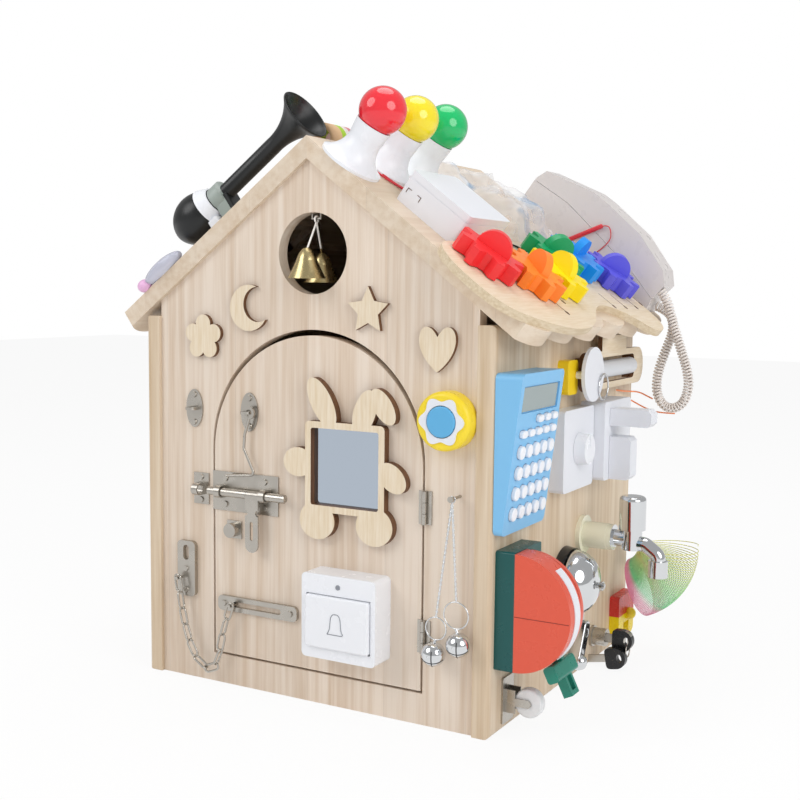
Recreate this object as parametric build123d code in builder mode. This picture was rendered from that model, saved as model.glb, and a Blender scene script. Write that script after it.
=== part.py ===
"""Busy house: a small wooden house with locks, switches, bells, gears and a telephone on its outside.

Millimetres. X is the house's width, the door faces -Y, Z is up. The origin is the middle of the footprint.
"""

from build123d import *
import math
import os

os.makedirs("parts", exist_ok=True)

# House
house_width = 420
house_depth = 398
side_height = 396
board = 18
board_round = 5
panel = 15
panel_recess = 4
apex_height = 557
roof_angle = 36.94
roof_thickness = 18
roof_depth = 400
roof_run = 287
lobe_count = 6
lobe_rise = 13
floor_thickness = 12
overrun = 1
seat_gap = 0.3

# Door
door_centre = 7
opening_radius = 129
opening_top = 386.5
door_bottom = 34
door_gap = 2.5
door_head_gap = 6
hinge_barrel = 5
hinge_pin = 2.4
hinge_leaf = 1.5
hinge_leaf_width = 4.5
hinge_height = 33
hinge_low = 90
hinge_high = 218
hinge_knuckle_gap = 0.5
hinge_offset = 1.5

# Porthole and its bells
porthole_x = 4.5
porthole_z = 463
porthole_diameter = 82
bell_eye_z = 498
bell_wire = 2
bell_mouth = 38
bell_height = 30
bell_crown = 14
bell_wall = 1.5
bell_wire_run = 30
bell_front_step = 12
bell_back_step = 27
bell_side_step = 6
bell_drop_step = 4
bell_pin_length = 10
bell_loop_radius = 3
bell_post_rise = 6.4

# Plywood shapes
plywood = 5
shape_size = 48
shape_xs = (-131, -71, 73, 150)
shape_zs = (375, 407, 407, 374)

# Rabbit frame and mirror
mirror_x = 49
mirror_z = 249
mirror_width = 84
mirror_height = 83
mirror_border = 4.5
mirror_thickness = 2
frame_thickness = 9
ear_width = 25
ear_height = 56
arm_reach = 29
arm_width = 30
foot_width = 42
foot_height = 27

# Cabin hook
staple_wire = 3
staple_width = 12
staple_reach = 13
staple_plate_width = 22
staple_plate_height = 41
staple_plate_thickness = 1.5
hook_z = 298
wall_staple_x = -146
door_staple_x = -73
hook_wire = 3
hook_eye_radius = 6.6
hook_drop = 60
hook_tip = 30

# Sliding bolt
bolt_z = 211.5
bolt_plate_width = 85
bolt_plate_height = 42
bolt_plate_left = -121
bolt_plate_thickness = 1.5
bolt_rod_diameter = 9
bolt_rod_length = 100
bolt_rod_left = -122
bolt_stand = 7
bolt_strap = 7
keeper_width = 20
keeper_height = 34
keeper_left = -147
keeper_strap = 8
bolt_clearance = 0.5
strap_wall = 1.5
hasp_x = -62
hasp_width = 17
hasp_length = 60
hasp_thickness = 2
hasp_slot_width = 4
hasp_slot_length = 20
hasp_hub = 3
lock_eye_x = -93
lock_eye_z = 171
lock_eye_diameter = 19
lock_eye_height = 9

# Door chain
chain_plate_x = -156
chain_plate_width = 24
chain_plate_height = 61
chain_plate_z = 121.5
chain_plate_depth = 5
track_left = -113
track_length = 102
track_height = 16
track_z = 90
track_depth = 4
track_slot_length = 62
track_slot_height = 6
chain_wire = 2.4
chain_link_length = 21
chain_link_width = 10
chain_out = 12
chain_peg = 3.6
chain_peg_x = -162
chain_peg_z = 111.4
slider_x = -90.7

# Doorbell
doorbell_x = 56
doorbell_z = 102
plate_size = 86
plate_round = 5
doorbell_depth = 30
rocker_width = 73.5
rocker_height = 53
rocker_z = 97.5
rocker_depth = 5
rocker_gap = 0.8
rocker_pin = 3

# Sound box
drum_x = 163
drum_z = 305
drum_diameter = 57
drum_depth = 19
drum_round = 5
button_diameter = 30
button_height = 6
button_gap = 0.6
button_travel = 3

# Jingle bells on a chain
chain_eye_x = 174.5
chain_eye_z = 232.5
fine_chain = 2
ring_wire = 1.4
left_ring_radius = 11
right_ring_radius = 13
left_ring_x = 159
left_ring_z = 105.5
right_ring_x = 180.4
right_ring_z = 121.3
jingle_diameter = 24
jingle_left_x = 156.5
jingle_left_z = 80
jingle_right_x = 183
jingle_right_z = 93
chain_nail = 3
chain_hang_out = 17
chain_loop_radius = 3

# Calculator
calc_y = -146
calc_z = 275
calc_width = 102
calc_height = 154
calc_foot_depth = 9
calc_head_depth = 28
calc_round = 6
calc_screen_width = 87
calc_screen_height = 26
calc_screen_drop = 12
calc_screen_sink = 2
key_width = 12
key_height = 13
key_proud = 4
key_pitch_y = 17.5
key_pitch_z = 20
key_columns = 5
key_rows = 4
key_first = 20
small_key_height = 7
key_travel = 1.5
key_gap = 0.6

# Dimmer and socket
dimmer_y = -19
dimmer_z = 262
dimmer_depth = 16
dimmer_knob_diameter = 34
dimmer_knob_height = 12
dimmer_knob_gap = 0.3
dimmer_shaft = 6
socket_y = 68
socket_z = 265
socket_depth = 28
plug_width = 22
upper_plug_height = 19
upper_plug_z = 291
upper_plug_length = 46
lower_plug_height = 47
lower_plug_z = 246
lower_plug_length = 24
plug_y = 52
plug_pin = 4
plug_pin_length = 12
plug_pin_spread = 11
plug_pin_gap = 0.3
plug_taper = 8
plug_lift = 0.3

# Pull reel
reel_y = -31
reel_z = 338
reel_case_width = 28
reel_case_height = 36
reel_case_depth = 12
reel_disc_y = 0
reel_disc_z = 340
reel_disc_diameter = 58
reel_disc_depth = 4
reel_disc_out = 20.3
reel_post = 8
reel_ring_diameter = 28
reel_ring_wire = 2
reel_ring_y = 25
reel_ring_z = 325

# Roller frame
roller_frame_y = 87.5
roller_frame_z = 341
roller_frame_length = 205
roller_frame_height = 42
roller_frame_stand = 10
roller_window_length = 140
roller_window_height = 28
roller_diameter = 22
roller_length = 136
roller_axle = 6
roller_gap = 0.3
roller_block = 14
roller_arm_width = 80
roller_arm_height = 22

# Tap
tap_y = 38
tap_z = 159
tap_flange_diameter = 42
tap_flange_depth = 5
tap_sleeve_diameter = 29
tap_sleeve_depth = 32
tap_nut_diameter = 28
tap_nut_depth = 6
tap_pipe = 18
tap_valve_reach = 58
tap_body_diameter = 22
tap_handle_diameter = 29
tap_handle_base = 170
tap_handle_top = 207
tap_spout = 16
tap_outlet_reach = 88
tap_aerator_diameter = 21
tap_aerator_top = 139
tap_aerator_bottom = 121
tap_stem = 8
tap_stem_gap = 0.05

# Knife switch
switch_y = -158
switch_z = 125
switch_base_width = 64
switch_base_height = 116
switch_base_depth = 20
switch_cover_radius = 57
switch_cover_width = 28
switch_pivot_out = 9
switch_hub = 9
switch_slot = 8
switch_blade_width = 6
switch_blade_height = 12
switch_rim_width = 5
switch_inner_radius = 54
switch_grip_radius = 54
switch_grip_length = 50
switch_grip_height = 16
switch_grip_depth = 12
switch_loop_length = 18
switch_loop_width = 17
switch_loop_wall = 4
switch_rest_angle = -64
switch_pin = 5

# Desk bell
desk_bell_y = -12
desk_bell_z = 116
desk_bell_base_diameter = 76
desk_bell_base_depth = 10
desk_bell_diameter = 70
desk_bell_dome = 26
desk_bell_wall = 1.5
desk_bell_gap = 2
desk_bell_post = 9
desk_bell_button = 6
desk_bell_reach = 46
desk_bell_travel = 3
desk_bell_button_gap = 0.2

# Lever latch
latch_y = 22
latch_z = 52
latch_width = 30
latch_height = 62
latch_depth = 6
latch_lever_width = 16
latch_lever_length = 62
latch_lever_depth = 9
latch_pivot = 8
latch_pivot_gap = 0.1

# Cam lock and keys
lock_y = 80
lock_z = 32
lock_diameter = 20
lock_depth = 18
lock_rim = 24
lock_rim_depth = 3
key_slot_width = 3
key_slot_height = 10
key_shank_depth = 8
key_head_width = 23
key_head_length = 23
key_head_thickness = 8
key_ring_radius = 7
key_wire = 1.6

# Caster
caster_y = -158
caster_z = 30
caster_plate_width = 26
caster_plate_height = 46
caster_plate_depth = 2
caster_wheel_diameter = 29
caster_wheel_width = 11
caster_axle = 4
caster_axle_reach = 25
caster_cheek = 1.6
caster_wheel_gap = 0.6
caster_bore_gap = 0.05

# Rainbow spring
spring_y = 155
spring_z = 128
spring_wire = 1
spring_coil_radius = 35
spring_hinge_radius = 56
spring_coils = 16
spring_fan = 64
spring_start = 3
spring_clip = 8
spring_clip_length = 35
spring_clip_thickness = 4
spring_clip_rise = 1.15

# Clip toy
toy_y = 165
toy_z = 47
toy_width = 54
toy_height = 34
toy_depth = 12
toy_leg_width = 17
toy_leg_length = 36
toy_ball = 12

# Bulbs
bulb_s = 30
bulb_ys = (-172, -105, -38)
holder_base_radius = 33.2
holder_neck_radius = 18
holder_height = 45
holder_wall = 1
holder_foot = 3
bulb_radius = 24
bulb_neck_radius = 13
bulb_centre = 61.5
bulb_base = 16

# Battery box
battery_s = 128
battery_y = -116
battery_length = 80
battery_width = 92
battery_height = 34
battery_round = 4
battery_seam = 8
battery_groove = 1

# Gear board and gears
gear_board_thickness = 8
gear_board_length = 147
gear_board_width = 378
gear_board_s = 171
gear_board_y = -232
gear_board_shares = (
    (0, 0.133), (0.136, 0.028), (0.395, 0), (0.653, 0.02), (0.823, 0.119), (0.912, 0.232),
    (0.884, 0.453), (0.707, 0.629), (0.871, 0.799), (1, 0.85), (0.95, 0.97), (0.6, 1), (0.25, 0.97), (0.136, 0.8),
    (0.034, 0.4),
)
gear_spacing = 62
gear_tip_radius = 35.5
gear_root_radius = 25
gear_tip_width = 8
gear_root_width = 13
gear_teeth = 8
gear_height = 17
gear_fin_radius = 18
gear_fin_thickness = 9
gear_post_diameter = 8
gear_post_gap = 0.05
gear_board_gap = 1
gear_first_s = 208
gear_first_y = -170
gear_headings = (64, 90, 122, 90, 62)
gear_fin_turns = (20, -35, -20, 60, 95, 40)
gear_names = ("red", "orange", "yellow", "green", "blue", "violet")

# Telephone
phone_y = 179
phone_width = 42
phone_start = 72
phone_length = 208
handset_height = 73
handset_width = 40
handset_gap = 0.4
phone_shares = (
    (0, 0.61), (0.03, 0.8), (0.34, 1), (0.43, 1), (0.71, 0.93), (0.94, 0.71), (1, 0.53), (0.99, 0.33),
)
phone_seat_shares = ((0, 0.56), (0.25, 0.6), (0.47, 0.52), (0.77, 0.4), (0.99, 0.24))

# Curly cord
cord_wire = 2.1
cord_outer = 12
cord_pitch = 4.2
cord_bend_share = 0.45
cord_points = (
    (253.1, 164, 428.4), (261, 164, 417), (266, 164, 397), (277, 165, 365), (288, 167, 331), (287.5, 168, 311), (280, 169, 294.5),
    (262.5, 171, 289.5), (248.5, 173, 304), (248, 174, 330), (256, 177, 357), (265, 179, 382), (261, 181, 404),
    (242.5, 181, 410.5),
)

# Bulb horn
horn_y = -170
horn_bulb_s = 163
horn_bulb_radius = 27
horn_bulb_length = 60
horn_pipe_radius = 9
horn_collar_radius = 15
horn_collar_s = 124
horn_mouth_s = -11
horn_mouth_radius = 29
horn_mouth_length = 50
horn_axis = 33
horn_foot_width = 22
horn_foot_length = 20
horn_bulb_flat = 4


# Worked out from the sizes above
half_width = house_width / 2
half_depth = house_depth / 2
inner_half = half_width - board
front_y = -half_depth + panel_recess
back_y = -front_y
slope = math.radians(roof_angle)
roof_normal = Vector(math.sin(slope), 0, math.cos(slope))
shoulder_height = apex_height - inner_half * math.tan(slope)
door_radius = opening_radius - door_gap
door_arch_z = opening_top - door_head_gap - door_radius
opening_arch_z = opening_top - opening_radius
opening_bottom = door_bottom - door_gap
hinge_x = door_centre + opening_radius + hinge_offset
hinge_y = front_y - hinge_leaf - hinge_barrel / 2


def front_plane(out):
    """Plane on the front panel, moved out by a distance, with X across and Y up."""
    return Plane(origin=(0, front_y - out, 0), x_dir=(1, 0, 0), z_dir=(0, -1, 0))


def right_plane(out):
    """Plane on the right wall, moved out by a distance, with X towards the back and Y up."""
    return Plane(origin=(half_width + out, 0, 0), x_dir=(0, 1, 0), z_dir=(1, 0, 0))


def level_plane(height):
    """Level plane at a height."""
    return Plane.XY.offset(height)


def roof_plane(out):
    """Plane on the right slab's underside, moved out, with X down the slope and Y to the back."""
    start = Vector(0, 0, apex_height) + roof_normal * out
    return Plane(origin=start, x_dir=(math.cos(slope), 0, -math.sin(slope)), z_dir=roof_normal)


def left_roof_plane(out):
    """Plane on the left slab's underside, moved out, with X up the slope and Y to the back."""
    normal = Vector(-math.sin(slope), 0, math.cos(slope))
    start = Vector(0, 0, apex_height) + normal * out
    return Plane(origin=start, x_dir=(math.cos(slope), 0, math.sin(slope)), z_dir=normal)


def roof_section(y):
    """Plane across the house at a depth, with X down the right slope and Y out of the roof."""
    return Plane(
        origin=(0, y, apex_height), x_dir=(math.cos(slope), 0, -math.sin(slope)), z_dir=(0, -1, 0)
    )


def save(piece, name):
    """Label a finished piece and write it to its own file."""
    piece.label = name
    export_step(piece, f"parts/{name}.step")


# Front and back panels
def gable_outline():
    """Outline of a gable panel."""
    with BuildLine() as outline:
        Polyline(
            (-inner_half, 0), (inner_half, 0), (inner_half, shoulder_height),
            (0, apex_height), (-inner_half, shoulder_height), close=True,
        )
    make_face(outline.edges())


def arch_outline(half, arch_z, bottom, mode=Mode.ADD):
    """Outline of a doorway with a half-round head."""
    with BuildLine() as outline:
        Line((door_centre - half, bottom), (door_centre + half, bottom))
        Line((door_centre + half, bottom), (door_centre + half, arch_z))
        ThreePointArc(
            (door_centre + half, arch_z), (door_centre, arch_z + half), (door_centre - half, arch_z)
        )
        Line((door_centre - half, arch_z), (door_centre - half, bottom))
    make_face(outline.edges(), mode=mode)


with BuildPart() as front_panel:
    with BuildSketch(front_plane(-panel)):
        gable_outline()
        arch_outline(opening_radius, opening_arch_z, opening_bottom, Mode.SUBTRACT)
        with Locations((porthole_x, porthole_z)):
            Circle(porthole_diameter / 2, mode=Mode.SUBTRACT)
    extrude(amount=panel)
save(front_panel.part, "front_panel")

with BuildPart() as back_panel:
    with BuildSketch(front_plane(front_y - back_y)):
        gable_outline()
    extrude(amount=panel)
save(back_panel.part, "back_panel")

# Side boards and floor
with BuildPart() as side_boards:
    for side in (-1, 1):
        with BuildSketch(level_plane(0)):
            with Locations((side * (half_width - board / 2), 0)):
                Rectangle(board, house_depth)
        extrude(amount=side_height)
    for end in (0, -1):
        fillet(side_boards.faces().sort_by(Axis.X)[end].edges(), board_round)
save(side_boards.part, "side_boards")

with BuildPart() as floor_board:
    with BuildSketch(level_plane(0)):
        Rectangle(2 * inner_half, 2 * (back_y - panel))
    extrude(amount=floor_thickness)
save(floor_board.part, "floor_board")

# Roof slabs
lobe_pitch = roof_depth / lobe_count
ridge_lap = roof_thickness * math.tan(slope) + overrun


def slab_outline():
    """Outline of a roof slab whose eave is a row of round lobes."""
    with BuildLine() as outline:
        for lobe in range(lobe_count):
            lobe_start = -roof_depth / 2 + lobe * lobe_pitch
            ThreePointArc(
                (roof_run, lobe_start),
                (roof_run + lobe_rise, lobe_start + lobe_pitch / 2),
                (roof_run, lobe_start + lobe_pitch),
            )
        Polyline(
            (roof_run, roof_depth / 2), (-ridge_lap, roof_depth / 2),
            (-ridge_lap, -roof_depth / 2), (roof_run, -roof_depth / 2),
        )
    make_face(outline.edges())


with BuildPart() as roof_slabs:
    with BuildSketch(roof_plane(0)):
        slab_outline()
    extrude(amount=roof_thickness)
    split(bisect_by=Plane.YZ.offset(seat_gap / 10), keep=Keep.TOP)
    mirror(about=Plane.YZ)
save(roof_slabs.part, "roof_slabs")

# Door
with BuildPart() as door:
    with BuildSketch(front_plane(-panel)):
        arch_outline(door_radius, door_arch_z, door_bottom)
    extrude(amount=panel)
save(door.part, "door")


# Staple plates, bolt plate, track and hinge leaves
def screw_head(x, z, out, radius):
    """Low round screw head on the front at a distance out."""
    with BuildSketch(front_plane(out)) as profile:
        with Locations((x, z)):
            Circle(radius)
    extrude(profile.sketch, amount=radius / 2, taper=roof_angle / 2)


screw_radius = 3.4


def staple_plate(x, z):
    """Oval plate with a wire loop standing out of it."""
    with BuildSketch(front_plane(0)) as profile:
        with Locations((x, z)):
            Ellipse(staple_plate_width / 2, staple_plate_height / 2)
    extrude(profile.sketch, amount=staple_plate_thickness)
    with BuildSketch(level_plane(z - staple_wire / 2)) as profile:
        with Locations((x, front_y - staple_plate_thickness)):
            SlotCenterToCenter(
                2 * (staple_reach - staple_plate_thickness - staple_width / 2), staple_width, rotation=90
            )
            SlotCenterToCenter(
                2 * (staple_reach - staple_plate_thickness - staple_width / 2),
                staple_width - 2 * staple_wire, rotation=90, mode=Mode.SUBTRACT,
            )
        with Locations((x, front_y + half_depth / 2)):
            Rectangle(half_depth, half_depth, mode=Mode.SUBTRACT)
    extrude(profile.sketch, amount=staple_wire)
    for step in (-1, 1):
        screw_head(x, z + step * staple_plate_height * 0.36, staple_plate_thickness, screw_radius)


def hinge_leaves(side):
    """Leaves of both hinges on one side, with their share of the knuckles."""
    knuckle = hinge_height / 3
    for middle in (hinge_low, hinge_high):
        with BuildSketch(front_plane(0)) as profile:
            with Locations((hinge_x + side * (hinge_barrel / 4 + hinge_leaf_width / 2), middle)):
                Rectangle(hinge_leaf_width + hinge_barrel / 2, hinge_height)
        extrude(profile.sketch, amount=hinge_leaf)
        if side > 0:
            spans = ((-1.5, -0.5), (0.5, 1.5))
        else:
            spans = ((-0.5, 0.5),)
        for low, high in spans:
            inset = hinge_knuckle_gap / 2
            with BuildSketch(level_plane(middle + low * knuckle + inset)) as profile:
                with Locations((hinge_x, hinge_y)):
                    Circle(hinge_barrel / 2)
            extrude(profile.sketch, amount=(high - low) * knuckle - 2 * inset)


def hinge_pins(radius, mode):
    """Pins through both hinges, added or cut."""
    for middle in (hinge_low, hinge_high):
        with BuildSketch(level_plane(middle - hinge_height / 2)) as profile:
            with Locations((hinge_x, hinge_y)):
                Circle(radius)
        extrude(profile.sketch, amount=hinge_height, mode=mode)


def rod_strap(left, width, height, clearance):
    """Bent strap that guides the rod, on a plate of the given height."""
    outer = bolt_rod_diameter / 2 + clearance + strap_wall
    reach = bolt_plate_thickness + bolt_stand
    with BuildSketch(Plane(origin=(left, front_y, bolt_z), x_dir=(0, -1, 0), z_dir=(1, 0, 0))) as profile:
        with Locations((reach, 0)):
            Circle(outer)
        with Locations((reach / 2, 0)):
            Rectangle(reach, 2 * outer)
    extrude(profile.sketch, amount=width)


def rod_bore(left, width):
    """Round way for the rod through straps."""
    reach = bolt_plate_thickness + bolt_stand
    with BuildSketch(Plane(origin=(left, front_y, bolt_z), x_dir=(0, -1, 0), z_dir=(1, 0, 0))) as profile:
        with Locations((reach, 0)):
            Circle(bolt_rod_diameter / 2 + bolt_clearance)
    extrude(profile.sketch, amount=width, mode=Mode.SUBTRACT)


with BuildPart() as frame_fittings:
    staple_plate(wall_staple_x, hook_z)
    with BuildSketch(front_plane(0)):
        with Locations((keeper_left + keeper_width / 2, bolt_z)):
            Rectangle(keeper_width, keeper_height)
    extrude(amount=bolt_plate_thickness)
    rod_strap(keeper_left + (keeper_width - keeper_strap) / 2, keeper_strap, keeper_height, bolt_clearance)
    rod_bore(keeper_left - overrun, keeper_width + 2 * overrun)
    for step in (-1, 1):
        screw_head(
            keeper_left + keeper_width / 2, bolt_z + step * keeper_height * 0.36,
            bolt_plate_thickness, screw_radius,
        )
    with BuildSketch(front_plane(0)):
        with Locations((chain_plate_x, chain_plate_z)):
            RectangleRounded(chain_plate_width, chain_plate_height, plate_round)
        with Locations((chain_plate_x, chain_plate_z + chain_plate_height * 0.29)):
            SlotOverall(chain_plate_height * 0.27, chain_plate_width / 3, rotation=90, mode=Mode.SUBTRACT)
    extrude(amount=chain_plate_depth)
    for share in (0, -0.38):
        screw_head(
            chain_plate_x, chain_plate_z + share * chain_plate_height, chain_plate_depth, screw_radius
        )
    with BuildSketch(front_plane(chain_plate_depth)):
        with Locations((chain_peg_x, chain_peg_z)):
            Circle(chain_peg / 2)
    extrude(amount=chain_out + chain_wire - chain_plate_depth)
    hinge_leaves(1)
    hinge_pins(hinge_pin / 2, Mode.ADD)
    with BuildSketch(Plane(
        origin=(porthole_x - bell_pin_length / 2, 0, 0), x_dir=(0, 1, 0), z_dir=(1, 0, 0)
    )):
        with Locations((front_y + panel / 2, bell_eye_z)):
            Circle(bell_wire / 2)
    extrude(amount=bell_pin_length)
    for step in (-1, 1):
        with BuildSketch(level_plane(bell_eye_z - bell_wire / 2)):
            with Locations((porthole_x + step * bell_pin_length / 2, front_y + panel / 2)):
                Circle(bell_wire / 2)
        extrude(amount=bell_post_rise)
    with BuildSketch(front_plane(0)):
        with Locations((chain_eye_x, chain_eye_z)):
            Circle(chain_nail / 2)
    extrude(amount=chain_hang_out + chain_nail)
    with BuildSketch(front_plane(chain_hang_out + chain_nail)):
        with Locations((chain_eye_x, chain_eye_z)):
            Circle(chain_nail)
    extrude(amount=chain_nail / 2)
    with BuildSketch(right_plane(0)):
        with Locations((spring_y, spring_z + spring_clip_rise + spring_clip_thickness / 2)):
            Rectangle(spring_clip, spring_clip_thickness)
    extrude(amount=spring_clip_length)
save(frame_fittings.part, "frame_fittings")

with BuildPart() as door_fittings:
    staple_plate(door_staple_x, hook_z)
    with BuildSketch(front_plane(0)):
        with Locations((bolt_plate_left + bolt_plate_width / 2, bolt_z)):
            Rectangle(bolt_plate_width, bolt_plate_height)
    extrude(amount=bolt_plate_thickness)
    for share in (0.16, 0.84):
        strap_left = bolt_plate_left + share * bolt_plate_width - bolt_strap / 2
        rod_strap(strap_left, bolt_strap, bolt_plate_height, bolt_clearance)
    rod_bore(bolt_plate_left - overrun, bolt_plate_width + 2 * overrun)
    for share in (0.2, 0.8):
        for step in (-1, 1):
            screw_head(
                bolt_plate_left + share * bolt_plate_width, bolt_z + step * bolt_plate_height * 0.33,
                bolt_plate_thickness, screw_radius,
            )
    with BuildSketch(front_plane(0)):
        with Locations((lock_eye_x, lock_eye_z)):
            Rectangle(lock_eye_diameter, lock_eye_diameter)
    extrude(amount=bolt_plate_thickness)
    with BuildSketch(front_plane(bolt_plate_thickness)):
        with Locations((lock_eye_x, lock_eye_z)):
            Circle(lock_eye_diameter * 0.4)
    extrude(amount=lock_eye_height)
    with BuildSketch(front_plane(0)):
        with Locations((track_left + track_length / 2, track_z)):
            RectangleRounded(track_length, track_height, plate_round)
        with Locations((track_left + track_length / 2, track_z)):
            SlotOverall(track_slot_length, track_slot_height, mode=Mode.SUBTRACT)
    extrude(amount=track_depth)
    for share in (0.08, 0.92):
        screw_head(track_left + share * track_length, track_z, track_depth, screw_radius)
    with BuildSketch(front_plane(0)):
        with Locations((slider_x, track_z)):
            Circle(chain_peg / 2)
    extrude(amount=chain_out + chain_wire)
    hinge_leaves(-1)
    hinge_pins(hinge_pin / 2 + seat_gap / 3, Mode.SUBTRACT)
save(door_fittings.part, "door_fittings")

# Rabbit frame and its mirror
mirror_left = mirror_x - mirror_width / 2
mirror_right = mirror_x + mirror_width / 2
mirror_top = mirror_z + mirror_height / 2
mirror_foot = mirror_z - mirror_height / 2

with BuildPart() as rabbit_frame:
    with BuildSketch(front_plane(0)):
        with Locations((mirror_x, mirror_z)):
            RectangleRounded(mirror_width + 2 * mirror_border, mirror_height + 2 * mirror_border, plate_round)
        with Locations((mirror_left + mirror_width * 0.18, mirror_top + ear_height * 0.42)):
            Ellipse(ear_height / 2, ear_width / 2, rotation=120)
        with Locations((mirror_right - mirror_width * 0.22, mirror_top + ear_height * 0.3)):
            Ellipse(ear_height * 0.42, ear_width / 2, rotation=70)
        with Locations((mirror_right + ear_width * 0.1, mirror_top + ear_height * 0.42)):
            Ellipse(ear_height * 0.36, ear_width * 0.42, rotation=-55)
        with Locations((mirror_left - arm_reach * 0.45, mirror_z + arm_width * 0.1)):
            Ellipse(arm_reach * 0.62, arm_width / 2)
        with Locations((mirror_right + arm_reach * 0.45, mirror_z - arm_width * 0.15)):
            Ellipse(arm_reach * 0.62, arm_width * 0.42, rotation=-40)
        for foot_x in (mirror_left + mirror_width * 0.12, mirror_right - mirror_width * 0.08):
            with Locations((foot_x, mirror_foot - foot_height * 0.5)):
                Ellipse(foot_width / 2, foot_height * 0.72)
        with Locations((mirror_x, mirror_z)):
            RectangleRounded(
                mirror_width - mirror_border, mirror_height - mirror_border, plate_round / 2, mode=Mode.SUBTRACT
            )
    extrude(amount=frame_thickness)
    with BuildSketch(front_plane(0)):
        with Locations((mirror_x, mirror_z)):
            Rectangle(mirror_width, mirror_height)
    extrude(amount=mirror_thickness, mode=Mode.SUBTRACT)
save(rabbit_frame.part, "rabbit_frame")

with BuildPart() as mirror_sheet:
    with BuildSketch(front_plane(0)):
        with Locations((mirror_x, mirror_z)):
            Rectangle(mirror_width - seat_gap, mirror_height - seat_gap)
    extrude(amount=mirror_thickness)
save(mirror_sheet.part, "mirror")

# Doorbell
with BuildPart() as doorbell_box:
    with BuildSketch(front_plane(0)):
        with Locations((doorbell_x, doorbell_z)):
            RectangleRounded(plate_size, plate_size, plate_round)
    extrude(amount=doorbell_depth)
    with BuildSketch(front_plane(doorbell_depth - rocker_depth)):
        with Locations((doorbell_x, rocker_z)):
            Rectangle(rocker_width + 2 * rocker_gap, rocker_height + 2 * rocker_gap)
    extrude(amount=rocker_depth, mode=Mode.SUBTRACT)
save(doorbell_box.part, "doorbell_box")

with BuildPart() as doorbell_rocker:
    with BuildSketch(front_plane(doorbell_depth - rocker_depth + rocker_pin / 2)):
        with Locations((doorbell_x, rocker_z)):
            RectangleRounded(rocker_width, rocker_height, plate_round / 2)
    extrude(amount=rocker_depth + rocker_pin)
    with BuildSketch(
        Plane(origin=(doorbell_x + rocker_width / 2, 0, 0), x_dir=(0, -1, 0), z_dir=(-1, 0, 0))
    ):
        with Locations((doorbell_depth - rocker_depth + rocker_pin / 2 + seat_gap - front_y, rocker_z)):
            Circle(rocker_pin / 2)
    extrude(amount=rocker_width)
    chamfer(doorbell_rocker.faces().sort_by(Axis.Y)[0].edges(), rocker_pin / 2)
save(doorbell_rocker.part, "doorbell_rocker")

# Cabin hook, hanging from the door's staple
hook_out = staple_plate_thickness + staple_reach * 0.46
hook_pivot_x = door_staple_x + (staple_width - staple_wire) / 2
with BuildPart() as cabin_hook:
    hook_plane = front_plane(hook_out)
    with BuildSketch(front_plane(hook_out - hook_wire * 0.4)):
        with Locations((hook_pivot_x, hook_z)):
            Circle(hook_eye_radius)
            Circle(hook_eye_radius - hook_wire, mode=Mode.SUBTRACT)
    extrude(amount=hook_wire * 0.8)
    eye_foot = (hook_pivot_x, hook_z - hook_eye_radius + hook_wire / 2)
    with BuildLine(hook_plane) as hook_line:
        FilletPolyline(
            eye_foot,
            (eye_foot[0] - hook_drop * 0.1, eye_foot[1] - hook_drop * 0.3),
            (eye_foot[0] - hook_drop * 0.12, eye_foot[1] - hook_drop * 0.55),
            (eye_foot[0] + hook_drop * 0.12, eye_foot[1] - hook_drop),
            (eye_foot[0] - hook_tip, eye_foot[1] - hook_drop * 1.06),
            radius=hook_wire * 1.3,
        )
    with BuildSketch(Plane(origin=hook_line.wire() @ 0, z_dir=hook_line.wire() % 0)):
        Circle(hook_wire / 2)
    sweep(path=hook_line.wire())
save(cabin_hook.part, "cabin_hook")

# Bolt rod and hasp
rod_out = bolt_plate_thickness + bolt_stand
with BuildPart() as bolt_rod:
    with BuildSketch(Plane(origin=(bolt_rod_left, front_y - rod_out, bolt_z), x_dir=(0, 1, 0), z_dir=(1, 0, 0))):
        Circle(bolt_rod_diameter / 2)
    extrude(amount=bolt_rod_length)
    chamfer(bolt_rod.faces().filter_by(Axis.X).edges(), bolt_rod_diameter / 9)
    with BuildSketch(
        Plane(origin=(hasp_x - hasp_width / 2, front_y - rod_out, bolt_z), x_dir=(0, 1, 0), z_dir=(1, 0, 0))
    ):
        Circle(bolt_rod_diameter / 2)
        Circle(hasp_hub, mode=Mode.SUBTRACT)
    extrude(amount=hasp_width, mode=Mode.SUBTRACT)
save(bolt_rod.part, "bolt_rod")

with BuildPart() as bolt_hasp:
    hub_width = hasp_width - 2 * seat_gap
    with BuildSketch(
        Plane(origin=(hasp_x - hub_width / 2, front_y - rod_out, bolt_z), x_dir=(0, 1, 0), z_dir=(1, 0, 0))
    ):
        Circle(bolt_rod_diameter / 2)
    extrude(amount=hub_width)
    with BuildSketch(front_plane(rod_out + bolt_rod_diameter / 2 - hasp_thickness)):
        with Locations((hasp_x, bolt_z - hasp_length / 4)):
            Rectangle(hub_width, hasp_length / 2)
        with Locations((hasp_x, bolt_z - hasp_length * 0.66)):
            SlotOverall(hasp_length * 0.68, hub_width, rotation=90)
        for step in (-1, 1):
            with Locations((hasp_x + step * hub_width / 2, bolt_z - hasp_length * 0.3)):
                Circle(hub_width / 5, mode=Mode.SUBTRACT)
        with Locations((hasp_x, bolt_z - hasp_length * 0.62)):
            SlotOverall(hasp_slot_length, hasp_slot_width, rotation=90, mode=Mode.SUBTRACT)
    extrude(amount=hasp_thickness)
    with BuildSketch(
        Plane(origin=(hasp_x - hub_width / 2, front_y - rod_out, bolt_z), x_dir=(0, 1, 0), z_dir=(1, 0, 0))
    ):
        Circle(hasp_hub + seat_gap / 3)
    extrude(amount=hub_width, mode=Mode.SUBTRACT)
save(bolt_hasp.part, "bolt_hasp")


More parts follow.
